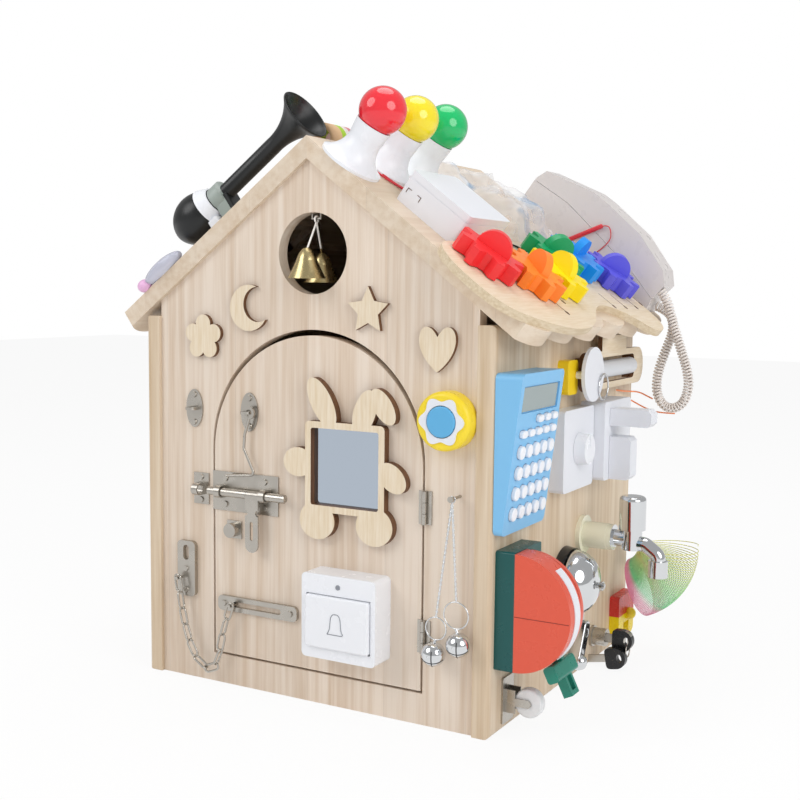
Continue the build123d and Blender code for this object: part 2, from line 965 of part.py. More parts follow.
# Door chain
def chain_link(place, along, turned):
    """One oval link at a place on the front, lying along a direction and flat or on edge."""
    direction = Vector(along[0], 0, along[1]).normalized()
    middle = Vector(place[0], front_y - place[2], place[1])
    face = Vector(0, -1, 0) if turned else direction.cross(Vector(0, -1, 0))
    link_plane = Plane(origin=middle, x_dir=direction, z_dir=face)
    with BuildLine(link_plane) as link_line:
        link_line_half = chain_link_length / 2 - chain_link_width / 2
        bend = chain_link_width / 2 - chain_wire / 2
        Line((-link_line_half, -bend), (link_line_half, -bend))
        ThreePointArc((link_line_half, -bend), (link_line_half + bend, 0), (link_line_half, bend))
        Line((link_line_half, bend), (-link_line_half, bend))
        ThreePointArc((-link_line_half, bend), (-link_line_half - bend, 0), (-link_line_half, -bend))
    with BuildSketch(Plane(origin=link_line.wire() @ 0, z_dir=link_line.wire() % 0)) as profile:
        Circle(chain_wire / 2)
    sweep(profile.sketch, path=link_line.wire())


chain_route = (
    (-161, 106), (-157.5, 87.5), (-154, 70), (-149, 53), (-142, 36.5), (-130.5, 22.5), (-116, 19),
    (-107, 32), (-103, 49), (-98.5, 66.5), (-92.5, 84.3),
)
with BuildPart() as door_chain:
    for index, spot in enumerate(chain_route):
        before = chain_route[max(index - 1, 0)]
        after = chain_route[min(index + 1, len(chain_route) - 1)]
        heading = (after[0] - before[0], after[1] - before[1])
        chain_link((spot[0], spot[1], chain_out), heading, index % 2 == 0)
save(door_chain.part, "door_chain")

# Plywood shapes on the front
with BuildPart() as front_shapes:
    with BuildSketch(front_plane(0)):
        with Locations((shape_xs[0], shape_zs[0])):
            with PolarLocations(shape_size * 0.3, 5, start_angle=90):
                Circle(shape_size * 0.2)
            Circle(shape_size * 0.24)
        with Locations((shape_xs[1], shape_zs[1])):
            Circle(shape_size / 2)
        with Locations((shape_xs[1] + shape_size * 0.24, shape_zs[1] + shape_size * 0.08)):
            Circle(shape_size * 0.38, mode=Mode.SUBTRACT)
        star_points = []
        for tip in range(10):
            turn = math.radians(90 + tip * 36)
            reach = shape_size / 2 if tip % 2 == 0 else shape_size * 0.25
            star_points.append((reach * math.cos(turn), reach * math.sin(turn)))
        with Locations((shape_xs[2], shape_zs[2])):
            Polygon(*star_points, align=None)
        heart_x, heart_z = shape_xs[3], shape_zs[3]
        for side in (-1, 1):
            with BuildLine():
                Bezier(
                    (heart_x, heart_z - shape_size / 2),
                    (heart_x + side * shape_size * 0.75, heart_z + shape_size * 0.05),
                    (heart_x + side * shape_size * 0.3, heart_z + shape_size * 0.75),
                    (heart_x, heart_z + shape_size * 0.2),
                )
                Line((heart_x, heart_z + shape_size * 0.2), (heart_x, heart_z - shape_size / 2))
            make_face()
    extrude(amount=plywood)
save(front_shapes.part, "front_shapes")

# Sound box and its button
with BuildPart() as sound_drum:
    with BuildSketch(front_plane(0)):
        with Locations((drum_x, drum_z)):
            Circle(drum_diameter / 2)
    extrude(amount=drum_depth)
    fillet(sound_drum.faces().sort_by(Axis.Y)[0].edges(), drum_round)
    with BuildSketch(front_plane(drum_depth - button_height)):
        with Locations((drum_x, drum_z)):
            Circle(button_diameter / 2 + button_gap)
    extrude(amount=button_height, mode=Mode.SUBTRACT)
save(sound_drum.part, "sound_drum")

with BuildPart() as sound_button:
    with BuildSketch(front_plane(drum_depth - button_height + button_travel + seat_gap)):
        with Locations((drum_x, drum_z)):
            Circle(button_diameter / 2)
    extrude(amount=button_height)
    fillet(sound_button.faces().sort_by(Axis.Y)[0].edges(), button_height / 3)
save(sound_button.part, "sound_button")

# Chain with split rings and jingle bells


def wire_ring(centre, radius, wire, facing):
    """Closed ring of round wire."""
    ring_plane = Plane(origin=centre, z_dir=facing)
    side_plane = Plane(origin=ring_plane.origin, x_dir=ring_plane.x_dir, z_dir=ring_plane.y_dir)
    with BuildSketch(side_plane) as profile:
        with Locations((radius, 0)):
            Circle(wire / 2)
    revolve(profile.sketch, axis=Axis(ring_plane.origin, ring_plane.z_dir))


with BuildPart() as bell_chain:
    chain_hang_y = front_y - chain_hang_out
    chain_top = chain_eye_z - (chain_loop_radius - ring_wire / 2) + chain_nail / 2 + seat_gap
    wire_ring((chain_eye_x, chain_hang_y, chain_top), chain_loop_radius, ring_wire, (0, 1, 0))
    for ring_x, ring_z, ring_radius in (
        (left_ring_x, left_ring_z, left_ring_radius),
        (right_ring_x, right_ring_z, right_ring_radius),
    ):
        wire_ring((ring_x, chain_hang_y, ring_z), ring_radius, ring_wire, (0, 1, 0))
        top = Vector(ring_x, chain_hang_y, ring_z + ring_radius)
        eye = Vector(chain_eye_x, chain_hang_y, chain_top - chain_loop_radius)
        with BuildSketch(Plane(origin=top, z_dir=eye - top)):
            Circle(fine_chain / 2)
        extrude(amount=(eye - top).length)
    for ball_x, ball_z in ((jingle_left_x, jingle_left_z), (jingle_right_x, jingle_right_z)):
        ball_plane = Plane(origin=(ball_x, chain_hang_y, ball_z), x_dir=(0, 1, 0), z_dir=(-1, 0, 0))
        with BuildSketch(ball_plane):
            with BuildLine():
                ThreePointArc((-jingle_diameter / 2, 0), (0, jingle_diameter / 2), (jingle_diameter / 2, 0))
                Line((jingle_diameter / 2, 0), (-jingle_diameter / 2, 0))
            make_face()
        revolve(axis=Axis(ball_plane.origin, ball_plane.x_dir))
    for ball_x, ball_z, ring_x, ring_z, ring_radius in (
        (jingle_left_x, jingle_left_z, left_ring_x, left_ring_z, left_ring_radius),
        (jingle_right_x, jingle_right_z, right_ring_x, right_ring_z, right_ring_radius),
    ):
        ball_top = Vector(ball_x, chain_hang_y, ball_z + jingle_diameter * 0.4)
        ring_foot = Vector(ring_x, chain_hang_y, ring_z - ring_radius)
        with BuildSketch(Plane(origin=ball_top, z_dir=ring_foot - ball_top)):
            Circle(ring_wire)
        extrude(amount=(ring_foot - ball_top).length)
save(bell_chain.part, "bell_chain")


# Porthole bells
def hanging_bell(x, y, crown_z):
    """Thin bell shape with its mouth down."""
    mouth = bell_mouth / 2
    crown = bell_crown / 2
    with BuildSketch(Plane(origin=(x, y, crown_z), x_dir=(1, 0, 0), z_dir=(0, -1, 0))) as profile:
        with BuildLine():
            Line((0, 0), (crown * 0.5, 0))
            ThreePointArc((crown * 0.5, 0), (crown, -crown * 0.6), (crown * 1.5, -bell_height * 0.4))
            ThreePointArc(
                (crown * 1.5, -bell_height * 0.4), (mouth * 0.84, -bell_height * 0.8), (mouth, -bell_height)
            )
            Line((mouth, -bell_height), (mouth - bell_wall, -bell_height))
            ThreePointArc(
                (mouth - bell_wall, -bell_height),
                (mouth * 0.84 - bell_wall, -bell_height * 0.8),
                (crown * 1.5 - bell_wall, -bell_height * 0.4),
            )
            Line((crown * 1.5 - bell_wall, -bell_height * 0.4), (0, -bell_height * 0.3))
            Line((0, -bell_height * 0.3), (0, 0))
        make_face()
    revolve(profile.sketch, axis=Axis((x, y, crown_z), (0, 0, 1)))


bell_front_y = front_y - bell_front_step
bell_rear_y = front_y + bell_back_step
bell_loop_z = bell_eye_z - bell_loop_radius + bell_wire + seat_gap
with BuildPart() as porthole_bells:
    for bell_x, bell_y, drop in (
        (porthole_x + bell_side_step / 4, bell_front_y, 0),
        (porthole_x - bell_side_step, bell_rear_y, bell_drop_step),
    ):
        crown_z = bell_eye_z - bell_wire_run - drop
        hanging_bell(bell_x, bell_y, crown_z)
        crown = Vector(bell_x, bell_y, crown_z - bell_wall)
        eye = Vector(porthole_x, front_y + panel / 2, bell_loop_z - bell_loop_radius)
        with BuildSketch(Plane(origin=crown, z_dir=eye - crown)):
            Circle(bell_wire / 2)
        extrude(amount=(eye - crown).length)
    wire_ring((porthole_x, front_y + panel / 2, bell_loop_z), bell_loop_radius, bell_wire, (1, 0, 0))
save(porthole_bells.part, "porthole_bells")

# Calculator
calc_tilt = math.degrees(math.atan2(calc_head_depth - calc_foot_depth, calc_height))
calc_foot = calc_z - calc_height / 2
calc_left = calc_y - calc_width / 2
calc_face = Plane(
    origin=(half_width + calc_foot_depth, calc_y, calc_foot),
    x_dir=(0, 1, 0),
    z_dir=(math.cos(math.radians(calc_tilt)), 0, -math.sin(math.radians(calc_tilt))),
)
calc_face_length = calc_height / math.cos(math.radians(calc_tilt))


def calc_keys_sketch(growth):
    """Key outlines on the calculator's face, grown by a gap."""
    for row in range(key_rows):
        for column in range(key_columns):
            key_x = (column - (key_columns - 1) / 2) * key_pitch_y
            with Locations((key_x, key_first + row * key_pitch_z)):
                Ellipse(key_width / 2 + growth, key_height / 2 + growth)
    for column in range(key_columns):
        key_x = (column - (key_columns - 1) / 2) * key_pitch_y
        with Locations((key_x, key_first + key_rows * key_pitch_z - key_pitch_z / 8)):
            SlotOverall(key_width + 2 * growth, small_key_height + 2 * growth)
    for column in range(2, key_columns):
        key_x = (column - (key_columns - 1) / 2) * key_pitch_y
        with Locations((key_x, key_first + key_rows * key_pitch_z + key_pitch_z / 2)):
            SlotOverall(key_width + 2 * growth, small_key_height + 2 * growth)


key_floor = key_travel + seat_gap
with BuildPart() as calculator_body:
    with BuildSketch(Plane(origin=(0, calc_left, 0), x_dir=(1, 0, 0), z_dir=(0, -1, 0))):
        with BuildLine():
            Polyline(
                (half_width, calc_foot), (half_width + calc_foot_depth, calc_foot),
                (half_width + calc_head_depth, calc_foot + calc_height), (half_width, calc_foot + calc_height),
                close=True,
            )
        make_face()
    extrude(amount=-calc_width)
    fillet(calculator_body.edges().filter_by(Axis.X), calc_round)
    screen_middle = calc_face_length - calc_screen_drop - calc_screen_height / 2
    with BuildSketch(calc_face.offset(-calc_screen_sink)):
        with Locations((0, screen_middle)):
            RectangleRounded(calc_screen_width, calc_screen_height, calc_screen_sink)
    extrude(amount=2 * calc_screen_sink, mode=Mode.SUBTRACT)
    with BuildSketch(calc_face.offset(-key_floor)):
        calc_keys_sketch(key_gap)
    extrude(amount=2 * key_floor, mode=Mode.SUBTRACT)
save(calculator_body.part, "calculator_body")

with BuildPart() as calculator_keys:
    with BuildSketch(calc_face):
        calc_keys_sketch(0)
    extrude(amount=key_proud)
    chamfer(
        calculator_keys.faces().filter_by(lambda face: face.normal_at().dot(calc_face.z_dir) > 0.99).edges(),
        key_proud / 5,
    )
save(calculator_keys.part, "calculator_keys")

# Dimmer
with BuildPart() as dimmer_plate:
    with BuildSketch(right_plane(0)):
        with Locations((dimmer_y, dimmer_z)):
            RectangleRounded(plate_size, plate_size, plate_round)
    extrude(amount=dimmer_depth)
    with BuildSketch(right_plane(dimmer_depth)):
        with Locations((dimmer_y, dimmer_z)):
            Circle(dimmer_shaft / 2)
    extrude(amount=dimmer_knob_height / 2)
save(dimmer_plate.part, "dimmer_plate")

with BuildPart() as dimmer_knob:
    with BuildSketch(right_plane(dimmer_depth + dimmer_knob_gap)):
        with Locations((dimmer_y, dimmer_z)):
            Circle(dimmer_knob_diameter / 2)
    extrude(amount=dimmer_knob_height, taper=roof_angle / 6)
    with BuildSketch(right_plane(dimmer_depth + dimmer_knob_gap + dimmer_knob_height)):
        with Locations((dimmer_y, dimmer_z + dimmer_knob_diameter / 4)):
            SlotOverall(dimmer_knob_diameter / 3, dimmer_shaft / 3, rotation=90)
    extrude(amount=-dimmer_shaft / 6, mode=Mode.SUBTRACT)
    with BuildSketch(right_plane(dimmer_depth)):
        with Locations((dimmer_y, dimmer_z)):
            Circle(dimmer_shaft / 2 + gear_post_gap)
    extrude(amount=dimmer_knob_height / 2 + dimmer_knob_gap, mode=Mode.SUBTRACT)
save(dimmer_knob.part, "dimmer_knob")


# Socket and plugs
def plug_pins(middle_z, growth, depth, mode):
    """Two flat pins of a plug, or their slots."""
    with BuildSketch(right_plane(socket_depth + plug_lift)) as profile:
        for step in (-1, 1):
            with Locations((plug_y + step * plug_pin_spread / 2, middle_z)):
                Rectangle(plug_pin / 2 + 2 * growth, plug_pin + 2 * growth)
    extrude(profile.sketch, amount=-depth, mode=mode)


with BuildPart() as socket_box:
    with BuildSketch(right_plane(0)):
        with Locations((socket_y, socket_z)):
            RectangleRounded(plate_size, plate_size, plate_round)
    extrude(amount=socket_depth)
    for middle in (upper_plug_z, lower_plug_z):
        plug_pins(middle, plug_pin_gap, plug_pin_length + 2 * plug_lift + overrun, Mode.SUBTRACT)
save(socket_box.part, "socket_box")

for plug_name, middle, height, length in (
    ("plug_upper", upper_plug_z, upper_plug_height, upper_plug_length),
    ("plug_lower", lower_plug_z, lower_plug_height, lower_plug_length),
):
    with BuildPart() as plug:
        with BuildSketch(right_plane(socket_depth + plug_lift)):
            with Locations((plug_y, middle)):
                Rectangle(plug_width, height)
        extrude(amount=length)
        chamfer(plug.faces().sort_by(Axis.X)[-1].edges().filter_by(Axis.Y), plug_taper / 2)
        plug_pins(middle, 0, plug_pin_length, Mode.ADD)
    save(plug.part, plug_name)

# Pull reel
with BuildPart() as reel:
    with BuildSketch(right_plane(0)):
        with Locations((reel_y, reel_z)):
            RectangleRounded(reel_case_width, reel_case_height, plate_round)
    extrude(amount=reel_case_depth)
    with BuildSketch(right_plane(reel_case_depth)):
        with Locations((reel_disc_y - reel_disc_diameter / 2 + reel_post, reel_disc_z)):
            Circle(reel_post / 2)
    extrude(amount=reel_disc_out - reel_case_depth)
    with BuildSketch(right_plane(reel_disc_out)):
        with Locations((reel_disc_y, reel_disc_z)):
            Circle(reel_disc_diameter / 2)
    extrude(amount=reel_disc_depth)
save(reel.part, "reel")

reel_ring_out = reel_disc_out + reel_disc_depth + reel_ring_wire / 2 + seat_gap
with BuildPart() as reel_ring:
    wire_ring(
        (half_width + reel_ring_out, reel_ring_y, reel_ring_z), reel_ring_diameter / 2, reel_ring_wire, (1, 0, 0)
    )
save(reel_ring.part, "reel_ring")

# Roller frame and roller
frame_half = roller_frame_length / 2
with BuildPart() as roller_frame:
    with BuildSketch(right_plane(roller_frame_stand)):
        with Locations((roller_frame_y, roller_frame_z)):
            RectangleRounded(roller_frame_length, roller_frame_height, roller_frame_height / 2.2)
        with Locations((roller_frame_y, roller_frame_z + roller_frame_height / 2 + roller_arm_height / 4)):
            Rectangle(roller_arm_width, roller_arm_height)
        with Locations((roller_frame_y, roller_frame_z)):
            RectangleRounded(
                roller_window_length, roller_window_height, roller_window_height / 4, mode=Mode.SUBTRACT
            )
    extrude(amount=plywood)
    block_middle = roller_window_length / 2 + roller_block / 2
    for step in (-1, 1):
        with BuildSketch(right_plane(0)):
            with Locations((roller_frame_y + step * (block_middle + roller_gap), roller_frame_z)):
                Rectangle(roller_block, roller_frame_height * 0.7)
        extrude(amount=roller_frame_stand)
    with BuildSketch(
        Plane(origin=(0, roller_frame_y - frame_half, 0), x_dir=(1, 0, 0), z_dir=(0, 1, 0))
    ):
        with Locations((half_width + roller_frame_stand, -roller_frame_z)):
            Circle(roller_axle / 2 + gear_post_gap)
    extrude(amount=roller_frame_length, mode=Mode.SUBTRACT)
save(roller_frame.part, "roller_frame")

with BuildPart() as roller:
    with BuildSketch(
        Plane(origin=(0, roller_frame_y - roller_length / 2, 0), x_dir=(1, 0, 0), z_dir=(0, 1, 0))
    ):
        with Locations((half_width + roller_frame_stand, -roller_frame_z)):
            Circle(min(roller_diameter / 2, roller_frame_stand - seat_gap))
    extrude(amount=roller_length)
    axle_length = roller_window_length + roller_block
    with BuildSketch(Plane(origin=(0, roller_frame_y - axle_length / 2, 0), x_dir=(1, 0, 0), z_dir=(0, 1, 0))):
        with Locations((half_width + roller_frame_stand, -roller_frame_z)):
            Circle(roller_axle / 2)
    extrude(amount=axle_length)
save(roller.part, "roller")

# Tap
valve_x = half_width + tap_valve_reach
outlet_x = half_width + tap_outlet_reach
with BuildPart() as tap_body:
    for start, diameter, depth in (
        (0, tap_flange_diameter, tap_flange_depth),
        (0, tap_sleeve_diameter, tap_sleeve_depth),
        (tap_sleeve_depth, tap_nut_diameter, tap_nut_depth),
        (tap_sleeve_depth, tap_pipe, tap_valve_reach - tap_sleeve_depth),
    ):
        with BuildSketch(right_plane(start)):
            with Locations((tap_y, tap_z)):
                Circle(diameter / 2)
        extrude(amount=depth)
    with BuildSketch(level_plane(tap_z - tap_body_diameter / 2)):
        with Locations((valve_x, tap_y)):
            Circle(tap_body_diameter / 2)
    extrude(amount=tap_handle_base - seat_gap - tap_z + tap_body_diameter / 2)
    spout_bend = outlet_x - valve_x
    with BuildLine(Plane(origin=(0, tap_y, 0), x_dir=(1, 0, 0), z_dir=(0, -1, 0))) as spout_line:
        FilletPolyline(
            (valve_x, tap_z - tap_spout / 4), (valve_x + spout_bend * 0.5, tap_z - tap_spout / 4),
            (outlet_x, tap_z - spout_bend * 0.5), (outlet_x, tap_aerator_bottom + tap_spout),
            radius=tap_spout * 0.55,
        )
    with BuildSketch(Plane(origin=spout_line.wire() @ 0, z_dir=spout_line.wire() % 0)):
        Circle(tap_spout / 2)
    sweep(path=spout_line.wire())
    with BuildSketch(level_plane(tap_aerator_bottom)):
        with Locations((outlet_x, tap_y)):
            Circle(tap_aerator_diameter / 2)
    extrude(amount=tap_aerator_top - tap_aerator_bottom)
    with BuildSketch(level_plane(tap_aerator_bottom)):
        with Locations((outlet_x, tap_y)):
            Circle(tap_aerator_diameter / 3)
    extrude(amount=(tap_aerator_top - tap_aerator_bottom) / 2, mode=Mode.SUBTRACT)
    with BuildSketch(level_plane(tap_handle_base - tap_stem)):
        with Locations((valve_x, tap_y)):
            Circle(tap_stem / 2)
    extrude(amount=2 * tap_stem)
save(tap_body.part, "tap_body")

with BuildPart() as tap_handle:
    with BuildSketch(level_plane(tap_handle_base)):
        with Locations((valve_x, tap_y)):
            Circle(tap_handle_diameter / 2)
    extrude(amount=tap_handle_top - tap_handle_base)
    fillet(tap_handle.faces().sort_by(Axis.Z)[-1].edges(), tap_handle_diameter / 6)
    with BuildSketch(level_plane(tap_handle_base)):
        with Locations((valve_x, tap_y)):
            Circle(tap_stem / 2 + tap_stem_gap)
    extrude(amount=tap_stem + seat_gap, mode=Mode.SUBTRACT)
save(tap_handle.part, "tap_handle")

# Knife switch
switch_left = switch_y - switch_base_width / 2
blade_y = switch_left + switch_cover_width + switch_slot / 2
pivot_x = half_width + switch_base_depth + switch_pivot_out


def wall_section(y):
    """Plane across the right wall at a depth, with X out and Y down, facing the back."""
    return Plane(origin=(0, y, 0), x_dir=(1, 0, 0), z_dir=(0, 1, 0))


with BuildPart() as knife_switch:
    with BuildSketch(right_plane(0)):
        with Locations((switch_y, switch_z)):
            RectangleRounded(switch_base_width, switch_base_height, plate_round / 2)
    extrude(amount=switch_base_depth)
    for start, width, radius in (
        (switch_left, switch_cover_width, switch_cover_radius),
        (blade_y + switch_slot / 2, switch_rim_width, switch_inner_radius),
    ):
        with BuildSketch(wall_section(start)):
            with Locations((half_width + switch_base_depth, -switch_z)):
                Circle(radius)
            with Locations((half_width + switch_base_depth - switch_cover_radius, -switch_z)):
                Rectangle(2 * switch_cover_radius, 2 * switch_cover_radius + overrun, mode=Mode.SUBTRACT)
        extrude(amount=width)
    with BuildSketch(wall_section(switch_left + switch_cover_width - overrun)):
        with Locations((pivot_x, -switch_z)):
            Circle(switch_pin / 2)
    extrude(amount=switch_slot + 2 * overrun)
save(knife_switch.part, "knife_switch")

swing = math.radians(switch_rest_angle)
blade_plane = Plane(
    origin=(pivot_x, blade_y, switch_z), x_dir=(math.cos(swing), 0, math.sin(swing)), z_dir=(0, -1, 0)
)
with BuildPart() as switch_handle:
    with BuildSketch(blade_plane.offset(-switch_blade_width / 2)):
        Circle(switch_hub - overrun)
        with Locations((switch_grip_radius / 2, 0)):
            Rectangle(switch_grip_radius, switch_blade_height)
        Circle(switch_pin / 2 + gear_post_gap, mode=Mode.SUBTRACT)
    extrude(amount=switch_blade_width)
    with BuildSketch(blade_plane.offset(-switch_grip_length / 2)):
        with Locations((switch_grip_radius + switch_grip_height / 2, 0)):
            RectangleRounded(switch_grip_height, switch_grip_depth, switch_grip_depth / 4)
    extrude(amount=switch_grip_length)
    loop_start = switch_grip_radius + switch_grip_height
    with BuildSketch(blade_plane.offset(-switch_loop_width / 2)):
        with Locations((loop_start + switch_loop_length / 2, 0)):
            Rectangle(switch_loop_length + overrun, switch_grip_depth * 0.8)
    extrude(amount=switch_loop_width)
    with BuildSketch(blade_plane.offset(-switch_loop_width / 2 + switch_loop_wall)):
        with Locations((loop_start + (switch_loop_length - switch_loop_wall) / 2, 0)):
            Rectangle(switch_loop_length - switch_loop_wall, switch_grip_depth)
    extrude(amount=switch_loop_width - 2 * switch_loop_wall, mode=Mode.SUBTRACT)
save(switch_handle.part, "switch_handle")

# Desk bell
with BuildPart() as bell_base:
    with BuildSketch(right_plane(0)):
        with Locations((desk_bell_y, desk_bell_z)):
            Circle(desk_bell_base_diameter / 2)
    extrude(amount=desk_bell_base_depth, taper=roof_angle / 4)
    with BuildSketch(right_plane(desk_bell_base_depth)):
        with Locations((desk_bell_y, desk_bell_z)):
            Circle(desk_bell_post / 2)
    extrude(amount=desk_bell_gap + desk_bell_dome - desk_bell_wall)
    with BuildSketch(right_plane(desk_bell_base_depth)):
        with Locations((desk_bell_y, desk_bell_z)):
            Circle(desk_bell_button / 2 + desk_bell_button_gap)
    extrude(amount=desk_bell_gap + desk_bell_dome, mode=Mode.SUBTRACT)

dome_out = desk_bell_base_depth + desk_bell_gap
with BuildPart() as bell_dome:
    with BuildSketch(Plane(origin=(half_width + dome_out, desk_bell_y, desk_bell_z), x_dir=(1, 0, 0), z_dir=(0, -1, 0))):
        with BuildLine():
            dome_radius = desk_bell_diameter / 2
            inner_radius = dome_radius - desk_bell_wall
            inner_dome = desk_bell_dome - desk_bell_wall
            hole = desk_bell_button / 2 + desk_bell_button_gap
            Line((0, dome_radius), (0, inner_radius))
            ThreePointArc(
                (0, inner_radius), (inner_dome * 0.72, inner_radius * 0.72), (inner_dome, desk_bell_post)
            )
            Line((inner_dome, desk_bell_post), (inner_dome, hole))
            Line((inner_dome, hole), (desk_bell_dome, hole))
            Line((desk_bell_dome, hole), (desk_bell_dome, desk_bell_post))
            ThreePointArc(
                (desk_bell_dome, desk_bell_post),
                (desk_bell_dome * 0.74, dome_radius * 0.73),
                (0, dome_radius),
            )
        make_face()
    revolve(axis=Axis((half_width, desk_bell_y, desk_bell_z), (1, 0, 0)))

with BuildPart() as desk_bell:
    add(bell_base.part)
    add(bell_dome.part)
save(desk_bell.part, "desk_bell")

with BuildPart() as bell_plunger:
    plunger_start = desk_bell_base_depth + desk_bell_travel + seat_gap
    with BuildSketch(right_plane(plunger_start)):
        with Locations((desk_bell_y, desk_bell_z)):
            Circle(desk_bell_button / 2)
    extrude(amount=desk_bell_reach - plunger_start)
    with BuildSketch(right_plane(dome_out + desk_bell_dome + desk_bell_travel + seat_gap)):
        with Locations((desk_bell_y, desk_bell_z)):
            Circle(desk_bell_post * 0.55)
    extrude(amount=desk_bell_travel)
save(bell_plunger.part, "bell_plunger")

# Lever latch
with BuildPart() as latch_plate:
    with BuildSketch(right_plane(0)):
        with Locations((latch_y, latch_z)):
            RectangleRounded(latch_width, latch_height, plate_round)
    extrude(amount=latch_depth)
    with BuildSketch(right_plane(latch_depth)):
        with Locations((latch_y, latch_z)):
            Circle(latch_pivot / 2)
    extrude(amount=latch_lever_depth)
save(latch_plate.part, "latch_plate")

with BuildPart() as latch_lever:
    with BuildSketch(right_plane(latch_depth + seat_gap)):
        with Locations((latch_y, latch_z)):
            Circle(latch_lever_width / 2)
        with Locations((latch_y - latch_lever_length * 0.12, latch_z - latch_lever_length * 0.2)):
            SlotOverall(latch_lever_length * 0.9, latch_lever_width, rotation=62)
        with Locations((latch_y, latch_z)):
            Circle(latch_pivot / 2 + latch_pivot_gap, mode=Mode.SUBTRACT)
    extrude(amount=latch_lever_depth)
    fillet(latch_lever.faces().sort_by(Axis.X)[-1].edges(), latch_lever_depth / 6)
save(latch_lever.part, "latch_lever")

# Cam lock with a key in it and a spare on a ring
with BuildPart() as cam_lock:
    for start, diameter, depth in (
        (0, lock_rim, lock_rim_depth),
        (0, lock_diameter, lock_depth),
    ):
        with BuildSketch(right_plane(start)):
            with Locations((lock_y, lock_z)):
                Circle(diameter / 2)
        extrude(amount=depth)
    with BuildSketch(right_plane(lock_rim_depth)):
        with Locations((lock_y, lock_z)):
            Circle(lock_diameter / 3 + gear_post_gap)
    extrude(amount=lock_depth, mode=Mode.SUBTRACT)
save(cam_lock.part, "cam_lock")

key_head_start = lock_depth + key_shank_depth - overrun
key_head_middle = half_width + key_head_start + key_head_width / 2
with BuildPart() as lock_keys:
    with BuildSketch(right_plane(lock_rim_depth + seat_gap)):
        with Locations((lock_y, lock_z)):
            Circle(lock_diameter / 3)
    extrude(amount=lock_depth - lock_rim_depth)
    with BuildSketch(right_plane(lock_depth)):
        with Locations((lock_y, lock_z)):
            Rectangle(key_slot_width, key_slot_height)
    extrude(amount=key_shank_depth + overrun)
    with BuildSketch(Plane(origin=(0, lock_y - key_head_thickness / 2, 0), x_dir=(1, 0, 0), z_dir=(0, 1, 0))):
        with Locations((key_head_middle, -lock_z)):
            RectangleRounded(key_head_width, key_head_length, key_head_width / 3)
        with Locations((key_head_middle + key_head_width * 0.22, -lock_z)):
            SlotOverall(key_head_length * 0.55, key_slot_width * 1.4, rotation=90, mode=Mode.SUBTRACT)
    extrude(amount=key_head_thickness)
    ring_centre = Vector(key_head_middle + key_head_width * 0.22 + key_wire, lock_y, lock_z - key_head_length / 2)
    wire_ring(ring_centre, key_ring_radius, key_wire, (1, 0, 0))
save(lock_keys.part, "lock_keys")

# Caster
axle_x = half_width + caster_axle_reach
cheek_inner = caster_wheel_width / 2 + caster_wheel_gap
with BuildPart() as caster_fork:
    with BuildSketch(right_plane(0)):
        with Locations((caster_y, caster_z)):
            RectangleRounded(caster_plate_width, caster_plate_height, plate_round / 2)
    extrude(amount=caster_plate_depth)
    for step in (-1, 1):
        with BuildSketch(Plane(
            origin=(0, caster_y + step * (cheek_inner + caster_cheek / 2) - caster_cheek / 2, 0),
            x_dir=(1, 0, 0), z_dir=(0, 1, 0),
        )):
            with Locations((axle_x, -caster_z)):
                Circle(caster_axle)
            with Locations(((half_width + axle_x) / 2, -caster_z)):
                Rectangle(caster_axle_reach, 2 * caster_axle)
            with Locations((half_width + caster_axle_reach / 4, -caster_z)):
                Rectangle(caster_axle_reach / 2, caster_plate_height / 2)
        extrude(amount=caster_cheek)
    with BuildSketch(Plane(
        origin=(0, caster_y - cheek_inner - caster_cheek, 0), x_dir=(1, 0, 0), z_dir=(0, 1, 0)
    )):
        with Locations((axle_x, -caster_z)):
            Circle(caster_axle / 2)
    extrude(amount=2 * (cheek_inner + caster_cheek))
save(caster_fork.part, "caster_fork")

with BuildPart() as caster_wheel:
    with BuildSketch(Plane(
        origin=(0, caster_y - caster_wheel_width / 2, 0), x_dir=(1, 0, 0), z_dir=(0, 1, 0)
    )):
        with Locations((axle_x, -caster_z)):
            Circle(caster_wheel_diameter / 2)
            Circle(caster_axle / 2 + caster_bore_gap, mode=Mode.SUBTRACT)
    extrude(amount=caster_wheel_width)
    fillet(caster_wheel.edges().filter_by(GeomType.CIRCLE).sort_by(SortBy.RADIUS)[-2:], caster_wheel_width / 5)
save(caster_wheel.part, "caster_wheel")


# Wound wire
def biarc(start, start_way, end, end_way):
    """Two arcs that meet smoothly and join two points with given directions."""
    chord = end - start
    ways = start_way + end_way
    spread = 2 * (1 - start_way.dot(end_way))
    across = chord.dot(ways)
    reach = (-across + math.sqrt(across * across + spread * chord.dot(chord))) / spread
    middle = (start + end + (start_way - end_way) * reach) * 0.5
    first = TangentArc(start, middle, tangent=start_way)
    TangentArc(middle, end, tangent=first % 1)


